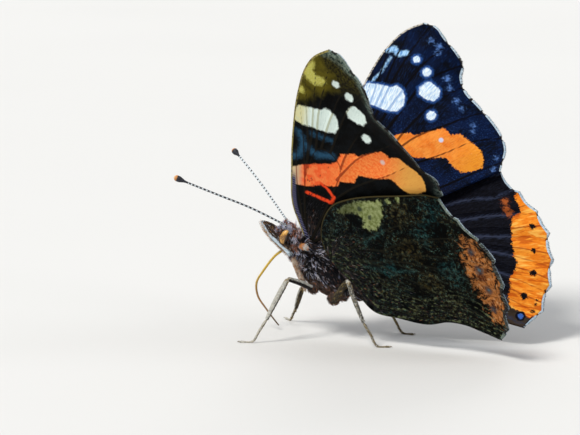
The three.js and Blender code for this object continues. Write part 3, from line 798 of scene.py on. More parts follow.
def hindwing_upper_look():
    look = Look("hindwing_upper", Specular_IOR_Level=0.06)
    wrinkle = look.noise("grain", 2.8, 2.0, 0.55, 0.3)
    rows = scale_surface(look, look.plus(("fold", 0.16, 0.0, 0.8), look.times(wrinkle, 1.6)), 0.06)
    speck = look.noise("flat", 3.0, 3.0, 0.75)
    fine = look.noise("flat", 6.5, 2.0, 0.8)
    # Painted highlight: lilac-blue beside the veins and on them, where light catches the raised veins.
    beside = look.times(("vein", 0.34, 0.06), (rows, 0.4, 0.6))
    ground = look.layers(
        (0.001, 0.001, 0.003),
        ((rows, 0.4, 0.7), (0.006, 0.007, 0.014)),
        ((fine, 0.58, 0.7, 0.5), (0.020, 0.026, 0.050)),
        ((look.plus("trail", look.times(speck, 1.5)), 5.0, 1.6, 0.9), (0.052, 0.036, 0.024)),
        (("share", 0.45, 0.15, 0.8), (0.036, 0.024, 0.016)),
        (look.times(beside, 0.6), (0.030, 0.042, 0.085)),
        (("vein", 0.04, -0.04, 0.6), (0.045, 0.055, 0.10)),
        ((look.jitter("flecks", speck, 1.8), -0.3, 0.25, 0.8), (0.42, 0.10, 0.02)))
    # Painted shade and highlight of the pleats: dark red in the low parts of the wrinkles and along the
    # folds, bright yellow-orange on the wrinkles' high parts.
    orange = look.layers(
        (0.82, 0.22, 0.012),
        ((look.noise("flat", 0.9, 2.0), 0.35, 0.65), (0.92, 0.33, 0.03)),
        ((wrinkle, 0.46, 0.38, 0.75), (0.48, 0.070, 0.004)),
        ((rows, 0.42, 0.66, 0.45), (0.66, 0.12, 0.008)),
        ((wrinkle, 0.54, 0.66, 0.7), (0.99, 0.56, 0.11)),
        (("fold", 0.15, 0.04, 0.75), (0.28, 0.030, 0.004)),
        (("vein", 0.05, -0.02, 0.6), (0.34, 0.045, 0.005)))
    anal = look.jitter("anal", speck, 0.5)
    look.colour(look.layers(
        ground,
        ((look.jitter("band", speck, 1.1), -0.06, 0.06), orange),
        ((look.jitter("dots", speck, 1.0), -0.05, 0.08), (0.003, 0.003, 0.005)),
        ((anal, -0.05, 0.05), look.mix((anal, 0.22, 0.34), (0.004, 0.004, 0.010), (0.05, 0.14, 0.50))),
        ((look.plus("rim", look.times(speck, 0.2)), 0.16, 0.10),
         look.mix(("vein", 0.35, 0.1), (0.52, 0.66, 0.80), (0.01, 0.01, 0.02)))))
    return look.material


def hindwing_under_look():
    look = Look("hindwing_under", Specular_IOR_Level=0.04)
    scale_surface(look, ("fold", 0.14, 0.0, 0.5), 0.04)
    speck = look.noise("flat", 1.9, 4.0, 0.72)
    fine = look.noise("flat", 5.5, 3.0, 0.7)
    cloud = look.noise("flat", 0.42, 4.0, 0.62, 0.9)
    mottle = look.noise("flat", 0.95, 4.0, 0.66, 1.3)
    worm = look.noise("flat", 1.25, 3.0, 0.6, 2.2)
    strong = look.times(look.times((speck, 0.46, 0.60), (cloud, 0.40, 0.58)), 0.9)
    thread = look.times((worm, 0.470, 0.490), (worm, 0.522, 0.500))
    second = look.times((worm, 0.575, 0.590), (worm, 0.618, 0.600))
    olive = look.times((look.jitter("olive", mottle, 6.0), -0.8, 0.9), (speck, 0.44, 0.62))
    teal = look.times((look.jitter("teal", mottle, 6.5), -0.8, 1.0), (speck, 0.43, 0.62))
    flecks = look.times(look.times((fine, 0.58, 0.63), ("share", 0.5, 0.12)), (speck, 0.44, 0.56))
    ripples = look.times((look.wave("scroll", 0.42, 13.0, "Y"), 0.66, 0.88), (speck, 0.46, 0.60))
    lines = look.times((look.jitter("lines", speck, 1.9), -0.25, 0.45), (fine, 0.4, 0.6))
    ground = look.layers(
        (0.0004, 0.0006, 0.0005),
        ((cloud, 0.46, 0.62), (0.0036, 0.0028, 0.0014)),
        ((mottle, 0.55, 0.62, 0.6), (0.0040, 0.010, 0.010)),
        ((mottle, 0.40, 0.32, 0.7), (0.012, 0.008, 0.003)),
        (look.times(olive, 0.7), (0.056, 0.042, 0.012)),
        (look.times(teal, 0.65), (0.014, 0.065, 0.068)),
        (look.times(thread, strong), (0.085, 0.17, 0.14)),
        (look.times(second, strong), (0.14, 0.11, 0.035)),
        ((fine, 0.64, 0.72, 0.2), (0.016, 0.032, 0.030)),
        (look.times(flecks, 0.7), (0.07, 0.16, 0.18)),
        (look.times(look.times(ripples, ("trail", 6.5, 2.5)), 0.9), (0.12, 0.14, 0.070)),
        (look.times(lines, 0.6), (0.05, 0.14, 0.13)),
        (("vein", 0.05, -0.04, 0.35), (0.020, 0.020, 0.012)))
    tawny = look.layers(
        (0.090, 0.022, 0.006),
        ((mottle, 0.38, 0.56), (0.42, 0.15, 0.038)),
        ((speck, 0.52, 0.64, 0.7), (0.52, 0.28, 0.13)),
        ((speck, 0.46, 0.37, 0.85), (0.014, 0.009, 0.007)))
    at_corners = look.math("MAXIMUM", ("back", 21.5, 18.5), ("back", 27.4, 28.6))
    at_edge = look.times((look.plus("rim", look.times(mottle, 1.6)), 1.25, 0.75),
                         look.plus(0.12, look.times(at_corners, 0.7)))
    pale = look.mix((speck, 0.42, 0.6), (0.020, 0.045, 0.040), (0.20, 0.26, 0.21))
    cream = look.mix((speck, 0.38, 0.62), (0.13, 0.16, 0.045), (0.30, 0.34, 0.15))
    patch = (look.jitter("cream", speck, 1.3), -0.2, 0.22)
    patch = look.times(patch, look.plus(0.35, ("back", 4.4, 7.0, 0.65)))
    look.colour(look.layers(
        ground,
        ((look.jitter("border", mottle, 5.5), -0.5, 0.6), tawny),
        ((look.jitter("rings", speck, 1.2), -0.3, 0.2, 0.75), (0.034, 0.040, 0.050)),
        ((look.jitter("rings", speck, 0.4), 0.28, 0.42, 0.8), (0.06, 0.13, 0.17)),
        (at_edge, pale),
        (patch, cream),
        ((look.jitter("dark", speck, 1.4), 0.0, 0.3, 0.85), (0.016, 0.026, 0.020)),
        (("lead", 0.22, 0.12), (0.040, 0.032, 0.012))))
    return look.material


# Fringe scales along the wing margins

def fringe_look():
    look = Look("wing_fringe", Roughness=0.75, Specular_IOR_Level=0.2)
    shade = look.plus("pale", look.times(look.minus("vary", 0.5), 0.5))
    grey = look.mix("vary", (0.34, 0.47, 0.58), (0.62, 0.74, 0.84))
    dull = look.mix("vary", (0.10, 0.14, 0.12), (0.27, 0.32, 0.27))
    dark = look.mix("vary", (0.004, 0.004, 0.006), (0.030, 0.026, 0.022))
    inner = look.mix("warm", (0.003, 0.006, 0.016), (0.78, 0.22, 0.015))
    colour = look.mix((shade, 0.35, 0.65), dark, look.mix("under", grey, dull))
    look.colour(look.mix(look.math("MAXIMUM", ("tip", 0.34, 0.42), "under"), inner, colour))
    look.bump(look.noise("grain", 4.0), 0.01)
    return look.material


def fringe(wing, name, side, material, pale_at):
    """Two layers of narrow scales that stand out from the margin to the true outline."""
    count = FRINGE_COUNT
    v = np.clip((np.arange(count) + random.uniform(0, 1, count)) / count, 0.004, 0.996)
    under = (np.arange(count) % 2).astype(float)
    edge = outline_point(wing, np.ones(count), v, 0.0)
    share = np.full(count, FRINGE_ROOT_SHARE)
    root = outline_point(wing, share, v, FRINGE_LENGTH + FRINGE_ROOT_DEPTH)
    vein, _ = line_field(edge, wing["veins"])
    length = np.linalg.norm(edge - root, axis=1) * random.uniform(0.85, 1.04, count)
    length *= 1 - 0.35 * bell(vein, 0.4)
    layer = (under - 0.5) * FRINGE_LAYER_GAP
    bulge = surface_off(wing, share, v, root)
    beyond = surface_off(wing, np.full(count, 1 / INSET_SHARE), v, root)
    start = wing_place(side, root, bulge + layer)
    end = wing_place(side, edge, beyond + layer)
    length = length * np.linalg.norm(end - start, axis=1) / np.linalg.norm(edge - root, axis=1)
    over = wing_place(side, root, bulge + layer + np.where(under > 0, FRINGE_LAYER_GAP, -FRINGE_LAYER_GAP))
    lies = unit(end - start)
    warm = (1 - under) * rising(v, 0.14, 0.04) * falling(v, 0.92, 0.05) * (wing is HINDWING)
    values = {
        "pale": pale_at(v, vein, under), "under": under, "warm": warm,
        "grain": np.stack([root[:, 0] * 6, root[:, 1] * 6, v], -1),
    }
    tufts(f"{wing['name']}_{name}_fringe", start, lies, laid(over - start, lies), length, 0.15, 0.05,
          random.normal(0, 0.06, count), values, np.stack([0.9 + 0.05 * under, v], -1), material,
          wing["name"], thin=0.14)


def forewing_fringe_pale(v, vein, under):
    dark_gap = np.clip(bell(v - 0.30, 0.035) + bell(v - 0.52, 0.012), 0, 1)
    dim = 0.4 + 0.6 * np.maximum(falling(v, 0.3, 0.1), rising(v, 0.9, 0.05))
    return rising(vein, 0.3, 0.3) * (1 - dark_gap) * np.where(under > 0, dim, 1)


def hindwing_fringe_pale(v, vein, under):
    dim = 0.3 + 0.7 * np.maximum(falling(v, 0.36, 0.1), rising(v, 0.9, 0.05))
    return np.maximum(rising(vein, 0.1, 0.16), falling(v, 0.13, 0.05)) * np.where(under > 0, dim, 1)


# Coats: hair and small scales

def coat_look(name, tones, painted_tip_light=1.15, cool_shift=(0.82, 0.88, 0.96)):
    """Hair whose locks take one of four colours, as likely as the tones at their roots say."""
    dark, brown, rust, pale = tones
    look = Look(name, Roughness=0.6, Specular_IOR_Level=0.16)
    second, third, fourth = (look.math("FRACT", look.times("vary", factor)) for factor in (7.31, 13.7, 23.1))
    cool = look.mix(fourth, pale, tuple(tone * shift for tone, shift in zip(pale, cool_shift)))
    colour = look.layers(
        dark,
        ((look.minus("brown", second), -0.08, 0.12), brown),
        ((look.minus("rust", third), -0.05, 0.08), rust),
        ((look.minus("pale", "vary"), -0.05, 0.08), cool))
    # Painted shade and light: each lock is darker at its root, where the locks crowd in shade, and lighter
    # towards its tip, where light falls.
    shade = look.plus(0.65, look.times("tip", painted_tip_light - 0.65))
    look.colour(look.node("VectorMath", 0, {0: colour, 3: shade}, operation="SCALE"))
    return look.material


def skin_look(name, tones):
    """The skin under the coat, with the same markings in softer tones."""
    dark, brown, rust, pale = tones
    look = Look(name, Roughness=0.7, Specular_IOR_Level=0.12)
    fine = look.noise("place", 5.0, 4.0, 0.65)
    look.colour(look.layers(
        dark,
        ((look.plus("brown", look.minus(fine, 0.5)), 0.1, 0.9), brown),
        (look.times(("rust", 0.1, 0.9), fine), rust),
        (look.times(("pale", 0.1, 0.9), fine), pale)))
    look.bump(look.plus(fine, look.cells("place", 7.0)), 0.05)
    return look.material


BODY_TONES = ((0.006, 0.006, 0.009), (0.090, 0.060, 0.046), (0.42, 0.16, 0.080), (0.66, 0.62, 0.64))


def clump(p, seed):
    """Directions that turn together over a tuft, so that locks gather."""
    return np.stack([ripple(p, 1.0, seed + k) for k in range(3)], -1)


def body_tones(p):
    """How likely brown, rust and pale hair are at places on the body."""
    y, z = to_tilted(p).T[1:]
    rear = rising((p - HINGE)[:, 1], 5.6, 1.4)
    head = falling(y, -2.1, 0.5)
    patch = rising(ripple(p, 0.75, 11), -0.1, 0.45)
    collar = bell(y + 1.5, 0.95) * rising(z, -2.6, 1.2)
    streak = bell(z + 2.6 + 0.25 * y, 0.35) * smooth(y) * (1 - rear)
    low = falling(z, -3.2, 1.4)
    top = rising(z, 0.4, 1.2) * rising(y, 0.5, 1.5)
    behind_eye = np.exp(-(((y + 2.5) / 0.35) ** 2 + ((z + 1.3) / 1.0) ** 2))
    behind = rising(y, 2.2, 1.6)
    chest = falling(y, 1.2, 0.8) * falling(z, -2.0, 0.6)
    pale = head * (0.12 + 0.5 * patch) + 0.85 * collar * (0.25 + 0.65 * patch)
    pale = pale + 0.5 * streak * (0.3 + 0.7 * patch)
    pale = (pale + 0.28 * patch * (1 - low)) * (1 - 0.65 * behind)
    pale = pale * (1 - rear) * (1 - 0.75 * top) * (1 - 0.8 * behind_eye) + rear * 0.2 * patch
    pale = pale + 0.08 * low * patch + 0.12 * chest
    rust = 0.34 * head * (1 - 0.6 * patch) + 0.3 * collar * (1 - 0.6 * patch) + 0.10 * low
    rust = rust + 0.25 * top * patch + 0.12 * rear + 0.35 * chest
    brown = 0.35 + 0.5 * low + 0.4 * top + 0.45 * rear - 0.25 * (1 - low) * (1 - rear) * (1 - top)
    brown = brown * (1 - 0.5 * head)
    return {"pale": np.clip(pale, 0, 1), "rust": np.clip(rust, 0, 1), "brown": np.clip(brown, 0, 1)}


# Body skin

THORAX_PATH = [[0, -1.6, -1.1], [0, 0.4, -1.5], [0, 3, -2], [0, 5.6, -2.35], [0, 7.7, -2.6]]
THORAX_HALF_WIDTHS = [1.2, 2.0, 2.4, 2.4, 2.2, 1.7]
THORAX_HALF_HEIGHTS = [1.5, 2.45, 3.4, 3.8, 3.5, 2.2]
ABDOMEN_PATH = [[0, 6.7, -5.75], [0, 10, -6.15], [0, 13.5, -6.3], [0, 17.2, -6.1]]
ABDOMEN_HALF_WIDTHS = [1.75, 1.95, 1.9, 1.65, 1.25, 0.8]
ABDOMEN_HALF_HEIGHTS = [1.75, 2, 1.95, 1.7, 1.3, 0.85]
ABDOMEN_RINGS = 7
THORAX_COAT = 0.45
ABDOMEN_COAT = 0.3
SKIN_VOXEL = 0.11
ROOT_DEPTH = 0.03


def ball(centre, radii, place):
    """A closed ball: centre and radii, put into the world by place."""
    places, faces = round_tube(24, 36, 0.04)
    return place(np.asarray(centre) + places * np.asarray(radii)), faces


def body_tube(points, place, half_widths, half_heights, coat, steps, caps, groove):
    """One length of the body, thinner than its solid by the coat."""
    t = np.linspace(0, 1, steps)
    ends = round_ends(t, *caps) * groove(t)
    wide = (stations(half_widths, t) - coat) * ends
    tall = (stations(half_heights, t) - coat) * ends
    return tube(place(spline(points, t)), wide, tall, 48)[:2]


def abdomen_groove(t):
    return 1 - 0.07 * bell(np.sin(math.pi * ABDOMEN_RINGS * t), 0.25)


def body_skin(material):
    """Head, neck, thorax and abdomen in one skin, inside the solids by the depth of the coat."""
    shapes = [
        body_tube(THORAX_PATH, from_tilted, THORAX_HALF_WIDTHS, THORAX_HALF_HEIGHTS, THORAX_COAT, 70,
                  (0.16, 0.16, 0.1), lambda t: 1.0),
        body_tube(ABDOMEN_PATH, from_hinge, ABDOMEN_HALF_WIDTHS, ABDOMEN_HALF_HEIGHTS, ABDOMEN_COAT, 110,
                  (0.1, 0.16, 0.08), abdomen_groove),
        ball((0, -3.35, -1.1), (0.72, 1.12, 1.22), from_tilted),
        ball((0, -3.6, -0.2), (0.7, 0.75, 0.7), from_tilted),
        ball((0, -2.0, -1.3), (0.8, 1.0, 1.0), from_tilted),
        ball((0, -2.35, -1.6), (0.95, 0.85, 0.95), from_hinge),
        ball((0, 6.35, -5.7), (1.35, 1.1, 1.4), from_hinge),
    ]
    for side in (1, -1):
        shapes += [
            ball((side * 2.2, 0.6, -0.05), (0.85, 1.4, 0.75), from_tilted),
            ball((side * 2.15, 2.6, -0.15), (0.75, 1.5, 0.7), from_tilted),
            ball((side * 2.3, 4.1, -0.15), (0.8, 2.0, 0.7), from_tilted),
            ball((side * 1.5, 0.55, -5.75), (0.55, 0.7, 0.7), from_hinge),
            ball((side * 1.5, 3.3, -6.95), (0.5, 0.75, 0.75), from_hinge),
        ]
    mesh = bpy.data.meshes.new("body_shapes")
    places, faces = [], []
    for points, (quads, ends) in shapes:
        start = sum(len(q) for q in places)
        faces += (quads + start).tolist() + (ends + start).tolist()
        places.append(points)
    mesh.from_pydata((np.vstack(places) * MM).tolist(), [], faces)
    mesh.update()
    draft = add_object("body_shapes", mesh)
    remesh = draft.modifiers.new("one_skin", "REMESH")
    remesh.mode = "VOXEL"
    remesh.voxel_size = SKIN_VOXEL * MM
    relax = draft.modifiers.new("relax", "SMOOTH")
    relax.factor = 0.6
    relax.iterations = 6
    joined = draft.evaluated_get(bpy.context.evaluated_depsgraph_get()).to_mesh()
    count = len(joined.vertices)
    co = np.empty(count * 3, np.float32)
    joined.vertices.foreach_get("co", co)
    co = co.reshape(-1, 3) / MM
    joined.calc_loop_triangles()
    triangles = np.empty(len(joined.loop_triangles) * 3, np.int32)
    joined.loop_triangles.foreach_get("vertices", triangles)
    triangles = triangles.reshape(-1, 3)
    bpy.data.objects.remove(draft)
    bpy.data.meshes.remove(mesh)
    make_piece("body_skin", co, [triangles], [material], "body_hair", ["head", "thorax", "abdomen"],
               {**body_tones(co), "place": co})
    return co, triangles


def scatter(places, triangles, count, weight):
    """Random roots on a mesh, more of them where weight is larger, with their normals."""
    a, b, c = (places[triangles[:, k]] for k in range(3))
    cross = np.cross(b - a, c - a)
    area = np.linalg.norm(cross, axis=1) * weight((a + b + c) / 3)
    chosen = random.choice(len(triangles), count, p=area / area.sum())
    s = np.sqrt(random.uniform(0, 1, count))[:, None]
    r = random.uniform(0, 1, count)[:, None]
    roots = a[chosen] * (1 - s) + b[chosen] * (s * (1 - r)) + c[chosen] * (s * r)
    return roots, unit(cross[chosen])


def laid(direction, normals):
    """A direction brought into the surface."""
    return unit(direction - normals * np.sum(direction * normals, axis=1, keepdims=True))


def round_patches(p, low, high):
    """Places on an unwrap of the body round its long axis."""
    turn = np.arctan2(p[:, 0], p[:, 2] - (p[:, 2].min() + p[:, 2].max()) / 2)
    return np.stack([0.5 + turn / math.tau, (p[:, 1] - low) / (high - low)], -1)


def body_coat(skin, material):
    """Hair of the head, collar, chest, thorax and abdomen, laid out in the tilted frame's y and z."""
    places, triangles = skin

    def grow(name, count, weight, direction, length, width, rise):
        roots, normals = scatter(places, triangles, count,
                                 lambda p: weight(*to_tilted(p).T[1:], (p - HINGE)[:, 1]))
        q = to_tilted(roots)
        y, z = q.T[1:]
        turned = direction(y, z, normals) + random.normal(0, 0.16, roots.shape) + 0.34 * clump(roots, 40)
        patches = round_patches(q, y.min() - 0.1, y.max() + 0.1)
        sizes = length(y, z) * random.uniform(0.7, 1.15, count) * (1 + 0.2 * ripple(roots, 0.9, 50))
        tufts(name, roots - normals * ROOT_DEPTH, laid(turned, normals), normals, sizes, width, rise(y, z),
              random.normal(0, 0.22, count), body_tones(roots), patches, material, "body_hair")

    def way(y, z):
        return from_tilted(np.array([0, y, z])) - HINGE

    def head_way(y, z, normals):
        up = rising(z, -1.0, 0.8)[:, None]
        front = (falling(y, -3.5, 0.7) * falling(z, 0.3, 0.5))[:, None]
        return (way(0.9, 0.1) * (1 - up) + way(0.85, 0.3) * up) * (1 - front) + front * way(-1.0, 0.1)

    def head_length(y, z):
        front = falling(y, -3.7, 0.5) * rising(z, -2.2, 0.6) * falling(z, 0.1, 0.6)
        nape = rising(y, -3.2, 0.7) * rising(z, -0.4, 0.6)
        return 0.38 + 0.4 * nape + 0.75 * front

    def thorax_way(y, z, normals):
        down = falling(z, -0.5, 2)[:, None]
        return way(1.0, 0.1) * (1 - 0.3 * down) + way(0.25, -0.6) * down

    grow("head_coat", 5600, lambda y, z, level: falling(y, -1.9, 0.4), head_way, head_length, 0.09,
         lambda y, z: 0.22 + 0.35 * rising(y, -3.2, 0.7))
    grow("collar_coat", 4200, lambda y, z, level: bell(y + 1.3, 0.75) * rising(z, -3.2, 1.0),
         lambda y, z, normals: way(-0.1, 0.9) + normals * 0.3,
         lambda y, z: 0.8 + 0.65 * rising(z, -1.2, 1.2), 0.11, lambda y, z: 0.65)
    grow("chest_coat", 3600,
         lambda y, z, level: falling(y, 1.6, 0.8) * rising(y, -1.9, 0.5) * falling(z, -1.7, 0.6),
         lambda y, z, normals: way(-0.1, -0.9) + normals * 0.2, lambda y, z: 1.0, 0.1, lambda y, z: 0.75)
    grow("thorax_coat", 12200, lambda y, z, level: rising(y, -1.7, 0.6) * falling(level, 6.3, 0.5),
         thorax_way, lambda y, z: 0.64 - 0.12 * falling(z, -3.4, 1), 0.11,
         lambda y, z: 0.42 + 0.1 * rising(z, 0.5, 1))
    grow("abdomen_coat", 11000, lambda y, z, level: rising(level, 5.7, 0.6),
         lambda y, z, normals: way(0.92, 0.39), lambda y, z: 0.62 - 0.12 * rising(y, 14, 3), 0.1,
         lambda y, z: 0.3)


# Hair at the wing roots and along the inner margins of the hindwings

def wing_hair(wing, name, side, material, count, reach, inner):
    """Long hair on both faces of a wing, dense at its root and along its inner margin."""
    u = random.uniform(0.01, 1, count * 6)
    v = random.uniform(0.02, 0.98, count * 6)
    weight = bell(u, reach) * rising(v, 0.12, 0.2) + inner * bell(1 - v, 0.16) * falling(u, 0.9, 0.2)
    weight = weight * (0.15 + u)
    keep = random.choice(len(u), count, replace=False, p=weight / weight.sum())
    u, v = u[keep], v[keep]
    face = np.where(random.uniform(0, 1, count) < 0.6, 1.0, -1.0)
    flat = outline_point(wing, u, v, FRINGE_LENGTH)
    ahead = outline_point(wing, np.minimum(u + 0.02, 1.02), v, FRINGE_LENGTH)
    off = surface_off(wing, u, v, flat) + face * MEMBRANE_HALF_THICKNESS
    start = wing_place(side, flat, off)
    normals = unit(wing_place(side, flat, off + face * 0.1) - start)
    forward = unit(wing_place(side, ahead, off) - start)
    lies = laid(forward + random.normal(0, 0.18, start.shape), normals)
    close = bell(u, reach)
    length = (0.35 + 0.4 * close) * random.uniform(0.7, 1.2, count)
    clumps = smooth(ripple(flat, 1.2, 61))
    values = {"pale": 0.07 * clumps * close * (face > 0), "rust": 0.02, "brown": 0.2 * close}
    patches = np.stack([u * 0.48 + np.where(face > 0, 0.51, 0.01), v], -1)
    tufts(f"{wing['name']}_{name}_hair", start, lies, normals, length, 0.07, 0.06 + 0.08 * close,
          random.normal(0, 0.15, count), values, patches, material, wing["name"])


# Eyes

EYE = {"x": 1.32, "y": -3.24, "z": -1.1, "bulge": 0.52, "length": 0.57, "height": 0.98}
EYE_INNER_BULGE = 0.22
EYE_GRID = (72, 96)


def eye_look():
    look = Look("eye_amber", Specular_IOR_Level=0.55, Coat_Weight=0.35, Coat_Roughness=0.12)
    fine = look.noise("place", 6.0, 2.0, 0.6)
    look.colour(look.layers(
        (0.20, 0.080, 0.014),
        ((look.noise("place", 1.5, 3.0, 0.6), 0.40, 0.58), (0.64, 0.32, 0.055)),
        ((fine, 0.45, 0.7, 0.45), (0.80, 0.50, 0.15)),
        ((look.plus("rear", look.times(fine, 0.3)), 0.52, 0.74), (0.022, 0.010, 0.006))))
    look.bump(look.times(look.cells("place", 11.0), -1.0), 0.012)
    look.rough(look.plus(0.24, look.times(fine, 0.2)))
    return look.material


def eye(name, side, material):
    dome, faces = round_tube(*EYE_GRID, 0.02)
    dome = unit(dome)
    reach = np.where(side * dome[:, 0] < 0, EYE_INNER_BULGE, 1.0)
    places = from_tilted(np.stack([side * EYE["x"] + EYE["bulge"] * dome[:, 0] * reach,
                                   EYE["y"] + EYE["length"] * dome[:, 1],
                                   EYE["z"] + EYE["height"] * dome[:, 2]], -1))
    make_piece(f"eye_{name}_dome", places, faces, [material], "eye", [f"eye_{name}"],
               {"place": places, "rear": dome[:, 1] + 0.1 * dome[:, 2]})


# Feelers

ANTENNA_PATHS = {
    "left": [[0.9, -3.5, 1.75], [1.45, -3.95, 2.15], [3.6, -7.1, 4.15], [6.2, -10.3, 5.95], [8.2, -13.3, 7.5],
             [9, -15, 8.3]],
    "right": [[-0.85, -3.75, 1.8], [-1.4, -4.55, 2.25], [-3.4, -7.2, 4.05], [-6, -10.6, 6.25],
              [-8.2, -13.9, 8.35], [-9, -15.3, 9.2]],
}
ANTENNA_SEGMENTS = 38
ANTENNA_STEPS = 420
SHAFT_RADIUS = 0.125
CLUB_RADIUS = 0.4


def antenna_look():
    look = Look("antenna_black", Specular_IOR_Level=0.45)
    grain = look.noise("place", 6.0, 3.0, 0.6)
    pale = look.mix(grain, (0.50, 0.60, 0.66), (0.86, 0.90, 0.92))
    tip = look.mix(("end", 0.978, 0.992), (0.55, 0.22, 0.05), (0.74, 0.46, 0.24))
    look.colour(look.layers(
        (0.006, 0.007, 0.012),
        ((grain, 0.4, 0.7), (0.020, 0.024, 0.042)),
        ((look.plus("pale", look.times(grain, 0.25)), 0.5, 0.75), pale),
        (("end", 0.955, 0.97), tip)))
    look.bump(look.plus(grain, look.cells("place", 9.0)), 0.02)
    look.rough(look.plus(0.4, look.times(grain, 0.3)))
    return look.material


def antenna(name, side, material):
    t = np.linspace(0, 1, ANTENNA_STEPS)
    path = from_hinge(spline(ANTENNA_PATHS[name], t))
    joint = np.abs(np.sin(math.pi * ANTENNA_SEGMENTS * t))
    shaft = SHAFT_RADIUS * (0.88 + 0.16 * joint**0.5) * (1 + 0.35 * falling(t, 0.03, 0.02))
    radius = shaft + (CLUB_RADIUS * (0.97 + 0.03 * joint) - shaft) * rising(t, 0.83, 0.11)
    radius = radius * round_ends(t, 0.004, 0.045, 0.12)
    places, faces, share, turn = tube(path, radius, radius, 18)
    segment = np.mod(ANTENNA_SEGMENTS * share, 1)
    outer = 0.5 + 0.5 * np.cos(turn) * side
    below = 0.5 - 0.5 * np.sin(turn)
    patch = rising(segment, 0.42, 0.1) * falling(segment, 0.98, 0.1)
    dot = patch * rising(outer, 0.72, 0.15) * rising(below, 0.12, 0.15)
    ring = rising(segment, 0.22, 0.1) * falling(segment, 0.99, 0.1) * falling(outer, 0.62, 0.2)
    pale = np.maximum(dot, ring * rising(below, 0.08, 0.15)) * falling(share, 0.84, 0.04)
    make_piece(f"antenna_{name}_rings", places, faces, [material], "antenna", [f"antenna_{name}"],
               {"place": places, "pale": pale, "end": share})


# Palps and proboscis

PALP_PATH = [[1.0, -2.5, -2.0], [1.12, -2.9, -1.55], [1.15, -3.98, -0.62], [1.05, -5.2, 0.32],
             [0.68, -6.2, 1.1], [0.3, -7.1, 1.8]]
PALP_HALF_WIDTHS = [0.24, 0.34, 0.34, 0.32, 0.26, 0.1]
PALP_HALF_HEIGHTS = [0.3, 0.42, 0.44, 0.42, 0.32, 0.1]
PALP_TONES = ((0.014, 0.010, 0.012), (0.10, 0.055, 0.035), (0.66, 0.34, 0.11), (0.70, 0.80, 0.86))
PALP_ABOVE = np.array([0, 0.75, 0.66])
PALP_SCALES = 3400


def tube_roots(places, quads, path, count):
    """Random roots on a tube, their normals, the way ahead and the share along the path."""
    triangles = np.vstack([quads[:, :3], quads[:, [0, 2, 3]]])
    roots, normals = scatter(places, triangles, count, lambda p: 1.0)
    nearest = np.argmin(np.linalg.norm(roots[:, None] - path[None], axis=2), axis=1)
    return roots, normals, unit(np.gradient(path, axis=0))[nearest], np.linspace(0, 1, len(path))[nearest]


def palp(name, side, skin, coat):
    """A palp: pale on its outer face, dark above, and tawny with bristles below."""
    t = np.linspace(0, 1, 60)
    path = from_hinge(spline(np.array(PALP_PATH) * [side, 1, 1], t))
    ends = round_ends(t, 0.1, 0.1, 0.08)
    places, faces, share, _ = tube(path, stations(PALP_HALF_WIDTHS, t) * ends,
                                   stations(PALP_HALF_HEIGHTS, t) * ends, 28)

    def tones(p, normals, share):
        above = normals @ PALP_ABOVE
        mottle = 0.15 * ripple(p, 0.9, 5)
        dark = rising(above + mottle, 0.2, 0.25)
        below = smooth((-0.6 - above + mottle) / 0.15)
        inner = falling(normals[:, 0] * side, 0.1, 0.3)
        cream = rising(share, 0.5, 0.2) * falling(above, 0.35, 0.5)
        tip = rising(share, 0.93, 0.05)
        pale = (1 - dark) * (1 - below) * (1 - 0.7 * inner) * 0.98 + 0.3 * tip + 0.04 * dark
        rust = below * 0.75 + 0.06 * dark + 0.75 * cream * (1 - dark)
        return {"pale": np.clip(pale * (1 - 0.5 * cream), 0, 1), "rust": np.clip(rust, 0, 1),
                "brown": 0.3 + 0.05 * dark}

    values = {**tones(places, unit(places - path_at(path, share)), share), "place": places}
    make_piece(f"palp_{name}_skin", places, faces, [skin], "palp", [f"palp_{name}"], values)
    count = PALP_SCALES
    roots, normals, ahead, along = tube_roots(places, faces[0], path, count)
    above = normals @ PALP_ABOVE
    bristle = (above < -0.5) & (random.uniform(0, 1, count) < 0.4)
    ridge = (above > 0.35) | (normals[:, 0] * side < -0.3)
    length = np.where(bristle, random.uniform(0.45, 0.75, count), random.uniform(0.22, 0.36, count))
    length = np.where(ridge, random.uniform(0.4, 0.7, count) * (1 - 0.5 * along**4), length)
    width = np.where(bristle, 0.04, np.where(ridge, 0.08, 0.11))
    rise = np.where(bristle, 0.95, np.where(ridge, 0.65, 0.12))
    shades = tones(roots, normals, along)
    shades["pale"] = np.where(bristle, 0.2, shades["pale"])
    shades["rust"] = np.where(bristle, 0.6, shades["rust"])
    patches = np.stack([np.clip(0.5 + np.arctan2(normals[:, 0], above) / math.tau, 0, 1), along], -1)
    tufts(f"palp_{name}_coat", roots, laid(ahead + random.normal(0, 0.12, roots.shape), normals), normals,
          length, width, rise, random.normal(0, 0.1, count), shades, patches, coat, "palp", thin=0.3)


PROBOSCIS_PATH = [[0, -4.4, -1.7], [0, -5.4, -2.5], [0, -6.9, -4.4], [0, -7.9, -6.1], [0, -7.7, -7.8],
                  [0, -6.6, -9.3], [0, -5.4, -10.7], [0, -4.8, -11.35]]
PROBOSCIS_RADII = [0.19, 0.18, 0.165, 0.145, 0.125, 0.11, 0.095, 0.08]


def proboscis_look():
    look = Look("proboscis_horn", Specular_IOR_Level=0.5, Coat_Weight=0.15, Coat_Roughness=0.3)
    grain = look.noise("place", 4.0)
    look.colour(look.layers(
        (0.72, 0.46, 0.035),
        (("end", 0.30, 0.55), (0.34, 0.17, 0.045)),
        (("end", 0.6, 0.9), (0.11, 0.075, 0.045)),
        # Painted highlight: whitish on the upper side of the stout part, where light falls on it.
        (look.times(("top", 0.2, 0.7), ("end", 0.6, 0.4)), (0.86, 0.78, 0.50)),
        ((grain, 0.45, 0.7, 0.3), (0.20, 0.09, 0.02))))
    look.bump(look.wave("steps", 3.2), 0.015)
    look.rough(look.plus(0.3, look.times(grain, 0.25)))
    return look.material


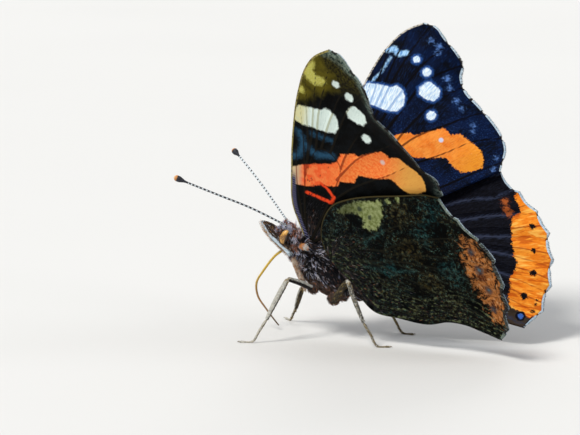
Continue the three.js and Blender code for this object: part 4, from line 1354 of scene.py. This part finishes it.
def proboscis(material):
    """Two halves joined in one tube, yellow and stout above, brown and fine towards its end."""
    t = np.linspace(0, 1, 240)
    radius = stations(PROBOSCIS_RADII, t) * round_ends(t, 0.01, 0.015, 0.2)
    path = from_hinge(spline(PROBOSCIS_PATH, t))
    places, faces, share, turn = tube(path, radius * 1.12, radius, 24)
    centre = path_at(path, share)
    groove = 1 - 0.16 * bell(np.abs(np.cos(turn)), 0.22) * (share > 0) * (share < 1)
    places = centre + (places - centre) * groove[:, None]
    steps = np.stack([share * 21, 0 * share, 0 * share], -1)
    # top is the upper side of the tube, which the look paints with a highlight.
    make_piece("proboscis_tube", places, faces, [material], "proboscis", ["proboscis"],
               {"place": places, "end": share, "top": -np.sin(turn), "steps": steps})


# Legs

LEGS = {
    "midleg_left": [[1.9, 0.6, -6.3], [5, -1.35, -4.2], [7.4, -3.2, -9.1], [8.6, -6.35, FLOOR]],
    "midleg_right": [[-1.9, 0.1, -6.2], [-3.9, -3.3, -7.05], [-5.2, -4.8, -10.2], [-6.9, -7, FLOOR]],
    "hindleg_left": [[1.8, 3.4, -7.6], [4.2, 6.4, -3.95], [4.7, 8.75, -9], [3.7, 11.9, FLOOR]],
    "hindleg_right": [[-1.8, 3.4, -7.6], [-4.3, 6.3, -4.2], [-4.6, 8.5, -9.4], [-4.3, 11.8, FLOOR]],
}
TARSUS_RADIUS = 0.125
LEG_TONES = ((0.014, 0.013, 0.016), (0.19, 0.15, 0.085), (0.62, 0.44, 0.15), (0.92, 0.90, 0.80))
LEG_SECTIONS = ("femur", "tibia", "tarsus")
LEG_STEPS = (60, 80, 110)
LEG_SCALES = (420, 620, 420)
FEMUR_RADII = [0.3, 0.36, 0.33, 0.26]
TIBIA_RADII = {"mid": [0.27, 0.35, 0.34, 0.29, 0.2], "hind": [0.25, 0.29, 0.29, 0.25, 0.19]}
TARSUS_RADII = [0.16, 0.145, 0.135, TARSUS_RADIUS]
TARSUS_JOINTS = 5
HIP_RISE = {"mid": 0.5, "hind": 0.15}
HEEL_SHARE = 0.52
CLAW_RADIUS = 0.05
CLAW_TONES = {"pale": 0.0, "rust": 0.3, "brown": 0.5}
SOLE_CLEARANCE = 0.003


def leg_tones(hind, section, front, share):
    """Pale in front and above, dark behind and below: partly the legs' own scales, partly painted light on
    the lit side and painted shade under it. Section is 0 femur, 1 tibia, 2 tarsus.
    """
    femur, tibia = section < 0.5, section < 1.5
    joint = np.where(femur, rising(share, 0.75, 0.2), falling(share, 0.14, 0.1))
    pale = np.select([femur, tibia], [rising(front, -0.1, 0.3), rising(front, -0.55, 0.35)],
                     rising(front, -0.7, 0.5) * 0.8)
    pale = pale * (1 - 0.5 * joint * tibia)
    rust = np.select([femur, tibia], [0.7 * joint * (front > 0), 0.10 + 0.5 * joint], 0.35)
    brown = np.select([femur, tibia], [0.1, 0.35], 0.6)
    if hind:
        knee = np.where(femur, rising(share, 0.93, 0.05), falling(share, 0.07, 0.05) * tibia)
        pale = np.maximum(0.4 * pale * (section > 0.5), knee)
        brown = np.where(femur, 0.4, 0.8 * brown)
        rust = np.where(femur, 0.12, rust)
    return {"pale": pale * 0.97, "rust": rust, "brown": brown}


def claw(heel, toe, turn):
    """One of the two claws beyond the last joint of a tarsus."""
    heading = unit(toe - heel)
    across = np.array([-heading[1], heading[0], 0]) * turn
    start = toe - heading * 0.05
    points = np.stack([start, start + heading * 0.18 + across * 0.1 + [0, 0, 0.05],
                       start + heading * 0.3 + across * 0.16 - [0, 0, 0.07]])
    t = np.linspace(0, 1, 12)
    radius = CLAW_RADIUS * (1.02 - t)
    return tube(from_hinge(spline(points, t)), radius, radius, 8)[:2]


def join(parts):
    """Meshes in one, each with its places, its quads and end triangles, and its values."""
    starts = np.cumsum([0] + [len(part[0]) for part in parts])
    faces = [np.vstack([part[1][k] + start for part, start in zip(parts, starts)]) for k in (0, 1)]
    values = {key: np.concatenate([part[2][key] for part in parts]) for key in parts[0][2]}
    return np.vstack([part[0] for part in parts]), faces, values


def leg(name, skin, coat):
    """One walking leg: femur, tibia and a jointed tarsus with claws, spines and lying scales."""
    hip, knee, ankle, toe = (np.array(p, float) for p in LEGS[name])
    side = math.copysign(1, hip[0])
    kind = name.split("leg")[0]
    hind = kind == "hind"
    root = hip + [0, 0, HIP_RISE[kind]]
    sole = FLOOR + TARSUS_RADIUS
    heel = ankle + (toe - ankle) * HEEL_SHARE
    heel[2] = toe[2] = sole
    routes = [
        (np.stack([root, (root + knee) / 2 + [0, 0, 0.12], knee]), FEMUR_RADII),
        (np.stack([knee, (knee + ankle) / 2 + [0.05 * side, -0.05, 0], ankle]), TIBIA_RADII[kind]),
        (np.stack([ankle, (ankle + heel) / 2, heel + [0, 0, 0.02], toe]), TARSUS_RADII),
    ]
    # The pale side that front_way and top_way point to is partly painted light; the dark side opposite is
    # partly painted shade.
    front_way, top_way = unit(np.array([0.45 * side, -0.6, 0.75])), unit(np.array([0.3 * side, -0.2, 0.95]))
    parts, coats = [], []
    for section, (points, radii) in enumerate(routes):
        t = np.linspace(0, 1, LEG_STEPS[section])
        path = from_hinge(spline(points, t))
        radius = stations(radii, t) * round_ends(t, 0.06, 0.05, 0.3)
        if section == 2:
            radius = radius * (0.82 + 0.22 * np.abs(np.sin(math.pi * TARSUS_JOINTS * t)) ** 0.6)
        places, faces, share, _ = tube(path, radius, radius, 16, np.cross(points[-1] - points[0], [0, 0, 1]))
        places[:, 2] = np.maximum(places[:, 2], SOLE_CLEARANCE)
        front = unit(places - path_at(path, share)) @ (top_way if section == 0 else front_way)
        tones = leg_tones(hind, np.full(len(places), section), front, share)
        parts.append((places, faces, {**tones, "place": places}))
        count = LEG_SCALES[section]
        chosen = faces[0][random.integers(0, len(faces[0]), count)]
        corner = places[chosen]
        share = share[chosen[:, 0]]
        roots = np.einsum("nk,nkc->nc", random.dirichlet(np.ones(4), count), corner)
        normals = unit(np.cross(corner[:, 1] - corner[:, 0], corner[:, 3] - corner[:, 0]))
        last = len(t) - 1
        ahead = unit(np.gradient(path, axis=0))[np.clip((share * last).astype(int), 0, last)]
        coats.append((roots, normals, ahead, share, np.full(count, section)))
    for turn in (-1, 1):
        places, faces = claw(heel, toe, turn)
        places[:, 2] = np.maximum(places[:, 2], SOLE_CLEARANCE)
        tones = {key: np.full(len(places), value) for key, value in CLAW_TONES.items()}
        parts.append((places, faces, {**tones, "place": places}))
    places, faces, values = join(parts)
    nodes = [f"{name}_{part}" for part in LEG_SECTIONS]
    make_piece(f"{name}_limb", places, faces, [skin], "leg", nodes, values)
    roots, normals, ahead, share, section = (np.concatenate(column) for column in zip(*coats))
    count = len(roots)
    outward = np.where(section < 0.5, normals @ top_way, normals @ front_way)
    spine = (section > 0.5) & (outward < 0.1) & (random.uniform(0, 1, count) < 0.16)
    tones = leg_tones(hind, section, outward, share)
    tones["pale"] = np.where(spine, 0.0, tones["pale"])
    tones["rust"] = np.where(spine, 0.25, tones["rust"])
    length = np.where(spine, random.uniform(0.26, 0.4, count), random.uniform(0.14, 0.24, count))
    length = np.where((section > 1.5) & ~spine, length * 0.7, length)
    shaggy = hind * (section < 0.5) * (share < 0.9)
    length = length * (1 + 1.6 * shaggy)
    length = np.where(roots[:, 2] < 0.3, np.minimum(length, 0.12), length)
    patches = np.stack([(section + 0.5 + 0.45 * np.clip(outward, -1, 1)) / 3, share], -1)
    tufts(f"{name}_coat", roots, laid(ahead + random.normal(0, 0.12, roots.shape), normals), normals, length,
          np.where(spine, 0.04, 0.07), np.where(spine, 0.85, 0.1) + 0.35 * shaggy,
          random.normal(0, 0.08, count), tones, patches, coat, "leg", thin=0.35)


# Folded front legs and tegulae

FORELEG_PATH = [[1.0, -2.45, -1.95], [1.05, -1.98, -3.1], [1.02, -1.55, -4.2], [1.0, -1.1, -5.2],
                [0.9, -0.8, -6.35]]
FORELEG_RADII = [0.26, 0.34, 0.32, 0.26, 0.15]
FORELEG_TONES = ((0.16, 0.085, 0.050), (0.36, 0.20, 0.12), (0.58, 0.28, 0.14), (0.80, 0.66, 0.52))
TEGULA_PATH = [[3.0, -0.45, -0.5], [3.02, 0.1, -0.35], [2.98, 0.65, -0.25]]
TEGULA_RADII = [0.2, 0.32, 0.34, 0.24]
TEGULA_TONES = ((0.20, 0.080, 0.030), (0.46, 0.22, 0.090), (0.80, 0.33, 0.10), (0.90, 0.84, 0.78))


def foreleg_tones(p, share):
    mottle = 0.5 + 0.5 * ripple(p, 1.0, 8)
    pale = 0.4 + 0.3 * mottle + 0.3 * rising(share, 0.8, 0.15)
    return {"pale": pale, "rust": 0.35 + 0.25 * mottle, "brown": 0.6}


def tegula_tones(p, share):
    centre = rising(share, 0.3, 0.2) * falling(share, 0.95, 0.2)
    return {"pale": 0.08 + 0.85 * centre, "rust": 0.9 - 0.5 * centre, "brown": 0.7}


def furry_limb(name, side, points, place, radii, tones, count, length, slot, skin, coat):
    """A small body part with a skin and a coat of its own."""
    t = np.linspace(0, 1, 50)
    path = place(spline(np.array(points) * [side, 1, 1], t))
    radius = stations(radii, t) * round_ends(t, 0.12, 0.12, 0.08)
    places, faces, share, _ = tube(path, radius, radius, 24)
    values = {**tones(places, share), "place": places}
    make_piece(f"{name}_skin", places, faces, [skin], slot, [name], values)
    roots, normals, ahead, along = tube_roots(places, faces[0], path, count)
    around = np.arctan2(normals[:, 0], normals[:, 2])
    tufts(f"{name}_coat", roots, laid(ahead + random.normal(0, 0.2, roots.shape), normals), normals,
          length * random.uniform(0.6, 1.1, count), 0.06, 0.35, random.normal(0, 0.2, count),
          tones(roots, along), np.stack([0.5 + around / math.tau, along], -1), coat, slot)


# Build the pieces

def skin_and_coat(part, kind, tones, *settings):
    return skin_look(f"{part}_skin_look", tones), coat_look(f"{part}_{kind}_look", tones, *settings)


body_looks = skin_and_coat("body", "hair", BODY_TONES, 1.5, (0.42, 0.52, 0.78))
leg_looks = skin_and_coat("leg", "scale", LEG_TONES)
palp_looks = skin_and_coat("palp", "scale", PALP_TONES)
foreleg_looks = skin_and_coat("foreleg", "hair", FORELEG_TONES, 1.2)
tegula_looks = skin_and_coat("tegula", "scale", TEGULA_TONES, 1.1)
fringe_material = fringe_look()
eye_material = eye_look()
antenna_material = antenna_look()
forewing_looks = [forewing_upper_look(), forewing_under_look()]
hindwing_looks = [hindwing_upper_look(), hindwing_under_look()]

body_coat(body_skin(body_looks[0]), body_looks[1])
proboscis(proboscis_look())
for name, side in SIDES:
    wing_piece(FOREWING, name, side, forewing_looks, forewing_markings)
    wing_piece(HINDWING, name, side, hindwing_looks, hindwing_markings)
    fringe(FOREWING, name, side, fringe_material, forewing_fringe_pale)
    fringe(HINDWING, name, side, fringe_material, hindwing_fringe_pale)
    wing_hair(FOREWING, name, side, body_looks[1], 1500, 0.16, 0.0)
    wing_hair(HINDWING, name, side, body_looks[1], 4200, 0.24, 0.35)
    eye(name, side, eye_material)
    antenna(name, side, antenna_material)
    palp(name, side, *palp_looks)
    furry_limb(f"foreleg_{name}", side, FORELEG_PATH, from_hinge, FORELEG_RADII, foreleg_tones, 1900, 0.42,
               "foreleg_hair", *foreleg_looks)
    furry_limb(f"tegula_{name}", side, TEGULA_PATH, from_tilted, TEGULA_RADII, tegula_tones, 900, 0.4,
               "body_hair", *tegula_looks)
for name in LEGS:
    leg(name, *leg_looks)


# Floor, light and camera

def studio_floor():
    size = 1.5
    mesh = bpy.data.meshes.new("studio_floor")
    corners = [(-size, -size, 0), (size, -size, 0), (size, size, 0), (-size, size, 0)]
    mesh.from_pydata(corners, [], [(0, 1, 2, 3)])
    look = Look("floor_look", Roughness=0.85, Specular_IOR_Level=0.2)
    grain = look.noise(look.node("TexCoord", "Object", {}), 9.0, 2.0)
    look.colour(look.mix(grain, (0.70, 0.70, 0.69), (0.74, 0.74, 0.73)))
    mesh.materials.append(look.material)
    add_object("studio_floor", mesh)


def soft_light(name, way, strength, spread, colour):
    """Soft light of one strength over the whole floor, that comes from the given way."""
    light = bpy.data.lights.new(name, "SUN")
    light.angle = math.radians(spread)
    light.energy = strength
    light.color = colour
    lamp = add_object(name, light)
    lamp.location = way
    lamp.rotation_euler = (-Vector(way)).to_track_quat("-Z", "Y").to_euler()


WORLD_COLOUR = (0.88, 0.91, 0.95, 1)
WORLD_STRENGTH = 0.45
CAMERA_AZIMUTH = math.radians(114)
CAMERA_ELEVATION = math.radians(10)
CAMERA_DISTANCE = 400.0
PIXELS_PER_MM = 8.0
IMAGE_SIZE = (580, 435)
HINGE_PIXEL = (313.9, 239.8)
SENSOR = 36.0


def photo_camera():
    """The camera looks from the insect's left, a little from behind and above."""
    az, el = CAMERA_AZIMUTH, CAMERA_ELEVATION
    backward = np.array([math.sin(az) * math.cos(el), -math.cos(az) * math.cos(el), math.sin(el)])
    right = np.array([math.cos(az), math.sin(az), 0])
    up = np.cross(backward, right)
    aside = -(HINGE_PIXEL[0] - IMAGE_SIZE[0] / 2) / PIXELS_PER_MM
    lift = (HINGE_PIXEL[1] - IMAGE_SIZE[1] / 2) / PIXELS_PER_MM
    place = HINGE + backward * CAMERA_DISTANCE + right * aside + up * lift
    data = bpy.data.cameras.new("photo_camera")
    data.sensor_width = SENSOR
    data.lens = SENSOR * CAMERA_DISTANCE * PIXELS_PER_MM / IMAGE_SIZE[0]
    data.clip_start = 0.01
    data.clip_end = 20
    camera = add_object("photo_camera", data)
    camera.location = place * MM
    camera.rotation_euler = Vector(-backward).to_track_quat("-Z", "Y").to_euler()
    bpy.context.scene.camera = camera


studio_floor()
soft_light("key_light", (0.20, -0.10, 0.32), 2.6, 20, (1.0, 0.97, 0.92))
soft_light("rim_light", (-0.05, 0.32, 0.20), 0.6, 30, (0.95, 0.97, 1.0))
soft_light("far_light", (-0.30, -0.10, 0.22), 0.6, 35, (1.0, 1.0, 1.0))
bpy.context.scene.view_settings.view_transform = "Standard"
world = bpy.data.worlds.new("studio_world")
world.use_nodes = True
world.node_tree.nodes["Background"].inputs[0].default_value = WORLD_COLOUR
world.node_tree.nodes["Background"].inputs[1].default_value = WORLD_STRENGTH
bpy.context.scene.world = world
photo_camera()
